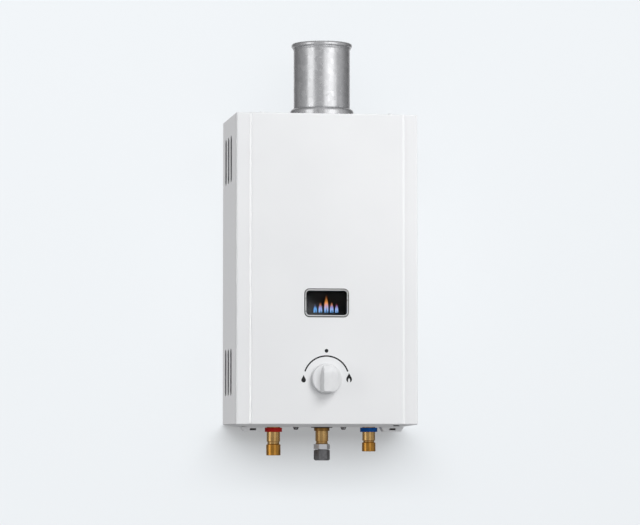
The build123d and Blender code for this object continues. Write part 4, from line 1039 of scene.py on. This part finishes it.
def flame_glow(name, x, low, tall, stops):
    material = bpy.data.materials.new(name)
    tree = bare_tree(material)
    place = tree.nodes.new("ShaderNodeTexCoord")
    split = tree.nodes.new("ShaderNodeSeparateXYZ")
    flicker = tree.nodes.new(NOISE)
    flicker.inputs["Scale"].default_value = flicker_scale
    for node in (split, flicker):
        tree.links.new(place.outputs["Object"], node.inputs["Vector"])

    def work(operation, first, second):
        node = tree.nodes.new("ShaderNodeMath")
        node.operation = operation
        for socket, value in zip(node.inputs, (first, second)):
            if isinstance(value, float):
                socket.default_value = value
            else:
                tree.links.new(value, socket)
        return node.outputs["Value"]

    wander = work("MULTIPLY", flicker.outputs["Fac"], flicker_tall)
    above_foot = work("SUBTRACT", work("ADD", split.outputs["Z"], wander), low + flicker_tall / 2)
    rise = work("DIVIDE", above_foot, tall)
    aside = work("ABSOLUTE", work("SUBTRACT", split.outputs["X"], x), 0.0)
    core = work("ADD", work("DIVIDE", aside, core_half), work("MULTIPLY", rise, core_rise))
    glow = tree.nodes.new("ShaderNodeEmission")
    colours = ramp(tree, rise, [(level, shade(*colour)) for level, colour in stops])
    tree.links.new(colours, glow.inputs["Color"])
    tree.links.new(ramp(tree, core, hollow), glow.inputs["Strength"])
    clear = tree.nodes.new("ShaderNodeBsdfTransparent")
    shell = mix(tree, ramp(tree, rise, density), clear.outputs["BSDF"], glow.outputs["Emission"])
    out = tree.nodes.new("ShaderNodeOutputMaterial")
    tree.links.new(shell, out.inputs["Surface"])
    return material


flame_y = -130 * mm
flame_foot = -68.6
sky, pale_sky = (90, 165, 235), (160, 190, 245)
lilac, pink, amber, rust = (150, 135, 205), (215, 165, 190), (240, 160, 80), (170, 90, 30)
ember = (120, 60, 20)
flames = [
    (-13.2, 15, 2.7, [(0, sky), (0.45, sky), (0.7, (85, 95, 150)), (1, (40, 40, 70))]),
    (-5.0, 19, 2.8, [(0, sky), (0.3, pale_sky), (0.5, lilac), (0.7, (190, 125, 80)), (1, (90, 40, 25))]),
    (4.6, 30, 3.3, [(0, sky), (0.2, pale_sky), (0.38, pink), (0.52, amber), (0.8, rust), (1, ember)]),
    (13.3, 19, 2.8, [(0, sky), (0.3, pale_sky), (0.5, lilac), (0.7, (215, 140, 95)), (1, (110, 50, 35))]),
    (21.3, 16, 2.5, [(0, sky), (0.35, pale_sky), (0.6, lilac), (0.8, (170, 60, 80)), (1, (130, 40, 45))]),
]
for number, (x, tall, half, stops) in enumerate(flames, 1):
    rows = [(0, 0), (half * 0.8, 0.3), (half, tall * 0.12), (half * 0.98, tall * 0.34)]
    rows += [(half * 0.82, tall * 0.52), (half * 0.55, tall * 0.7), (half * 0.27, tall * 0.87), (0, tall)]
    profile = [(radius, flame_foot + level) for radius, level in rows]
    flame = turn_upright("flame_%d" % number, (x * mm, flame_y), profile, steps=24)
    glow = flame_glow("flame_glow_%d" % number, x * mm, flame_foot * mm, tall * mm, stops)
    settle(flame, glow, "heater", crease=60)

# %% [markdown]
# The dial is printed on the panel: a dot for off, a drop and a flame at the ends of the knob's travel, and
# an arc between them. The ink is a film of a few hundredths of a millimetre, so each sign is an outline
# that is filled and extruded by that much. The arc is a small face spun round the knob.

# %% Signs of the dial
panel_y = -173.0 * mm
film = 0.06 * mm
dot_x, dot_z, dot_r = -1.6, -129.9, 2.95
drop_x, drop_z, drop_r, drop_tip = -38.1, -176.1, 3.65, -168.0
fire_x, fire_z = 34.3, -172.4
arc_x, arc_z, arc_r, arc_half, arc_reach = -1.9, -174.0, 35.95, 1.15, 71


def printed(name, outline):
    sign = filled(name, [(x * mm, panel_y, z * mm) for x, z in outline])
    bpy.ops.mesh.extrude_region_move(TRANSFORM_OT_translate={"value": (0, -film, 0)})
    close_shell()
    return sign


def smooth_line(points, steps):
    line = []
    for a, b, c, d in zip(points, points[1:], points[2:], points[3:]):
        for step in range(steps):
            t = step / steps
            point = []
            for p, q, r, s in zip(a, b, c, d):
                curve = (r - p) * t + (2 * p - 5 * q + 4 * r - s) * t * t
                curve += (3 * q - p - 3 * r + s) * t ** 3
                point.append(q + 0.5 * curve)
            line.append(tuple(point))
    return line


dot = printed("dial_dot", bend(dot_x, dot_z, dot_r, 0, 345, 23))
drop = printed("dial_drop", [(drop_x, drop_tip)] + bend(drop_x, drop_z, drop_r, 154, 386, 20))
half_fire = [(-1.2, 8.8), (0.0, 7.4), (1.9, 3.9), (3.9, 0.6)]
half_fire += [(4.5, -2.0), (4.0, -4.6), (2.4, -6.8), (1.2, -7.8)]
half_notch = [(1.6, -8.6), (1.5, -6.6), (1.8, -4.6), (1.3, -2.4), (0.0, -0.2), (-1.4, 1.0)]
right = smooth_line(half_fire, 5) + [(2.4, -6.8)] + smooth_line(half_notch, 4) + [(0.0, -0.2)]
left = [(-x, z) for x, z in reversed(right[1:-1])]
fire = printed("dial_fire", [(fire_x + x, fire_z + z) for x, z in right + left])

start = math.radians(90 - arc_reach)
inside, outside = arc_r - arc_half, arc_r + arc_half
front_y = panel_y - film
corners = [
    ((arc_x + radius * math.cos(start)) * mm, y, (arc_z + radius * math.sin(start)) * mm)
    for radius, y in ((inside, panel_y), (outside, panel_y), (outside, front_y), (inside, front_y))
]
arc = filled("dial_signs", corners)
bpy.ops.mesh.spin(
    steps=48, angle=math.radians(2 * arc_reach), center=(arc_x * mm, 0, arc_z * mm), axis=(0, 1, 0)
)
close_shell()
join_to(arc, [dot, drop, fire])
settle(arc, finishes["dial_ink"], "heater", crease=30)
print("dial is", round(1000 * arc.dimensions.x, 1), "mm wide")

# %% [markdown]
# Turned metal lives from its upright streaks, and each streak is the mirror image of a tall lamp. The
# flue, the brass and the small screws were lit by different lamps, so each gets its own: light linking
# ties a strip to the pieces that show it. A strip's place follows from the streak's place on the round:
# the mirrored ray turns by twice as much as the surface does. The flue's right streak fades at its sides,
# so a wide weak strip and a narrow one make it together.

# %% Strips for the streaks on the metal
camera_side = -98.8
strip_away = 2.0
strip_tall = 1.8


def streak(name, centre, degrees, spread_degrees, level, pieces):
    turn = math.radians(degrees + camera_side)
    place = Vector(centre) + strip_away * Vector((math.cos(turn), math.sin(turn), 0))
    width = 2 * strip_away * math.tan(math.radians(spread_degrees / 2))
    strip = softbox(name, place, centre, width, strip_tall, level * math.pi * width * strip_tall)
    strip.visible_glossy = True
    strip.light_linking.receiver_collection = linking(name + "_on", "INCLUDE", *pieces)
    print(name, "is", round(width, 2), "m wide")


flue_middle = (0, service_y, 0.45)
pipe_middle = (0, service_y, -0.27)
under_pan = (0, service_y, -1.5)
streak("flue_left", flue_middle, -45, 28, 0.66, [flue, seam])
streak("flue_right", flue_middle, 36, 52, 0.45, [flue, seam])
streak("flue_bright", flue_middle, 38, 24, 0.38, [flue, seam])
streak("brass_left", pipe_middle, -63, 32, 0.95, [hot_end, cold_end])
streak("brass_right", pipe_middle, 26, 20, 0.45, [hot_end, cold_end])
streak("gas_left", pipe_middle, -50, 22, 0.42, [gas_end])
streak("gas_right", pipe_middle, 39, 22, 0.30, [gas_end])
streak("screw_left", under_pan, -40, 20, 4.5, [screws])
streak("screw_right", under_pan, 40, 20, 3.5, [screws])
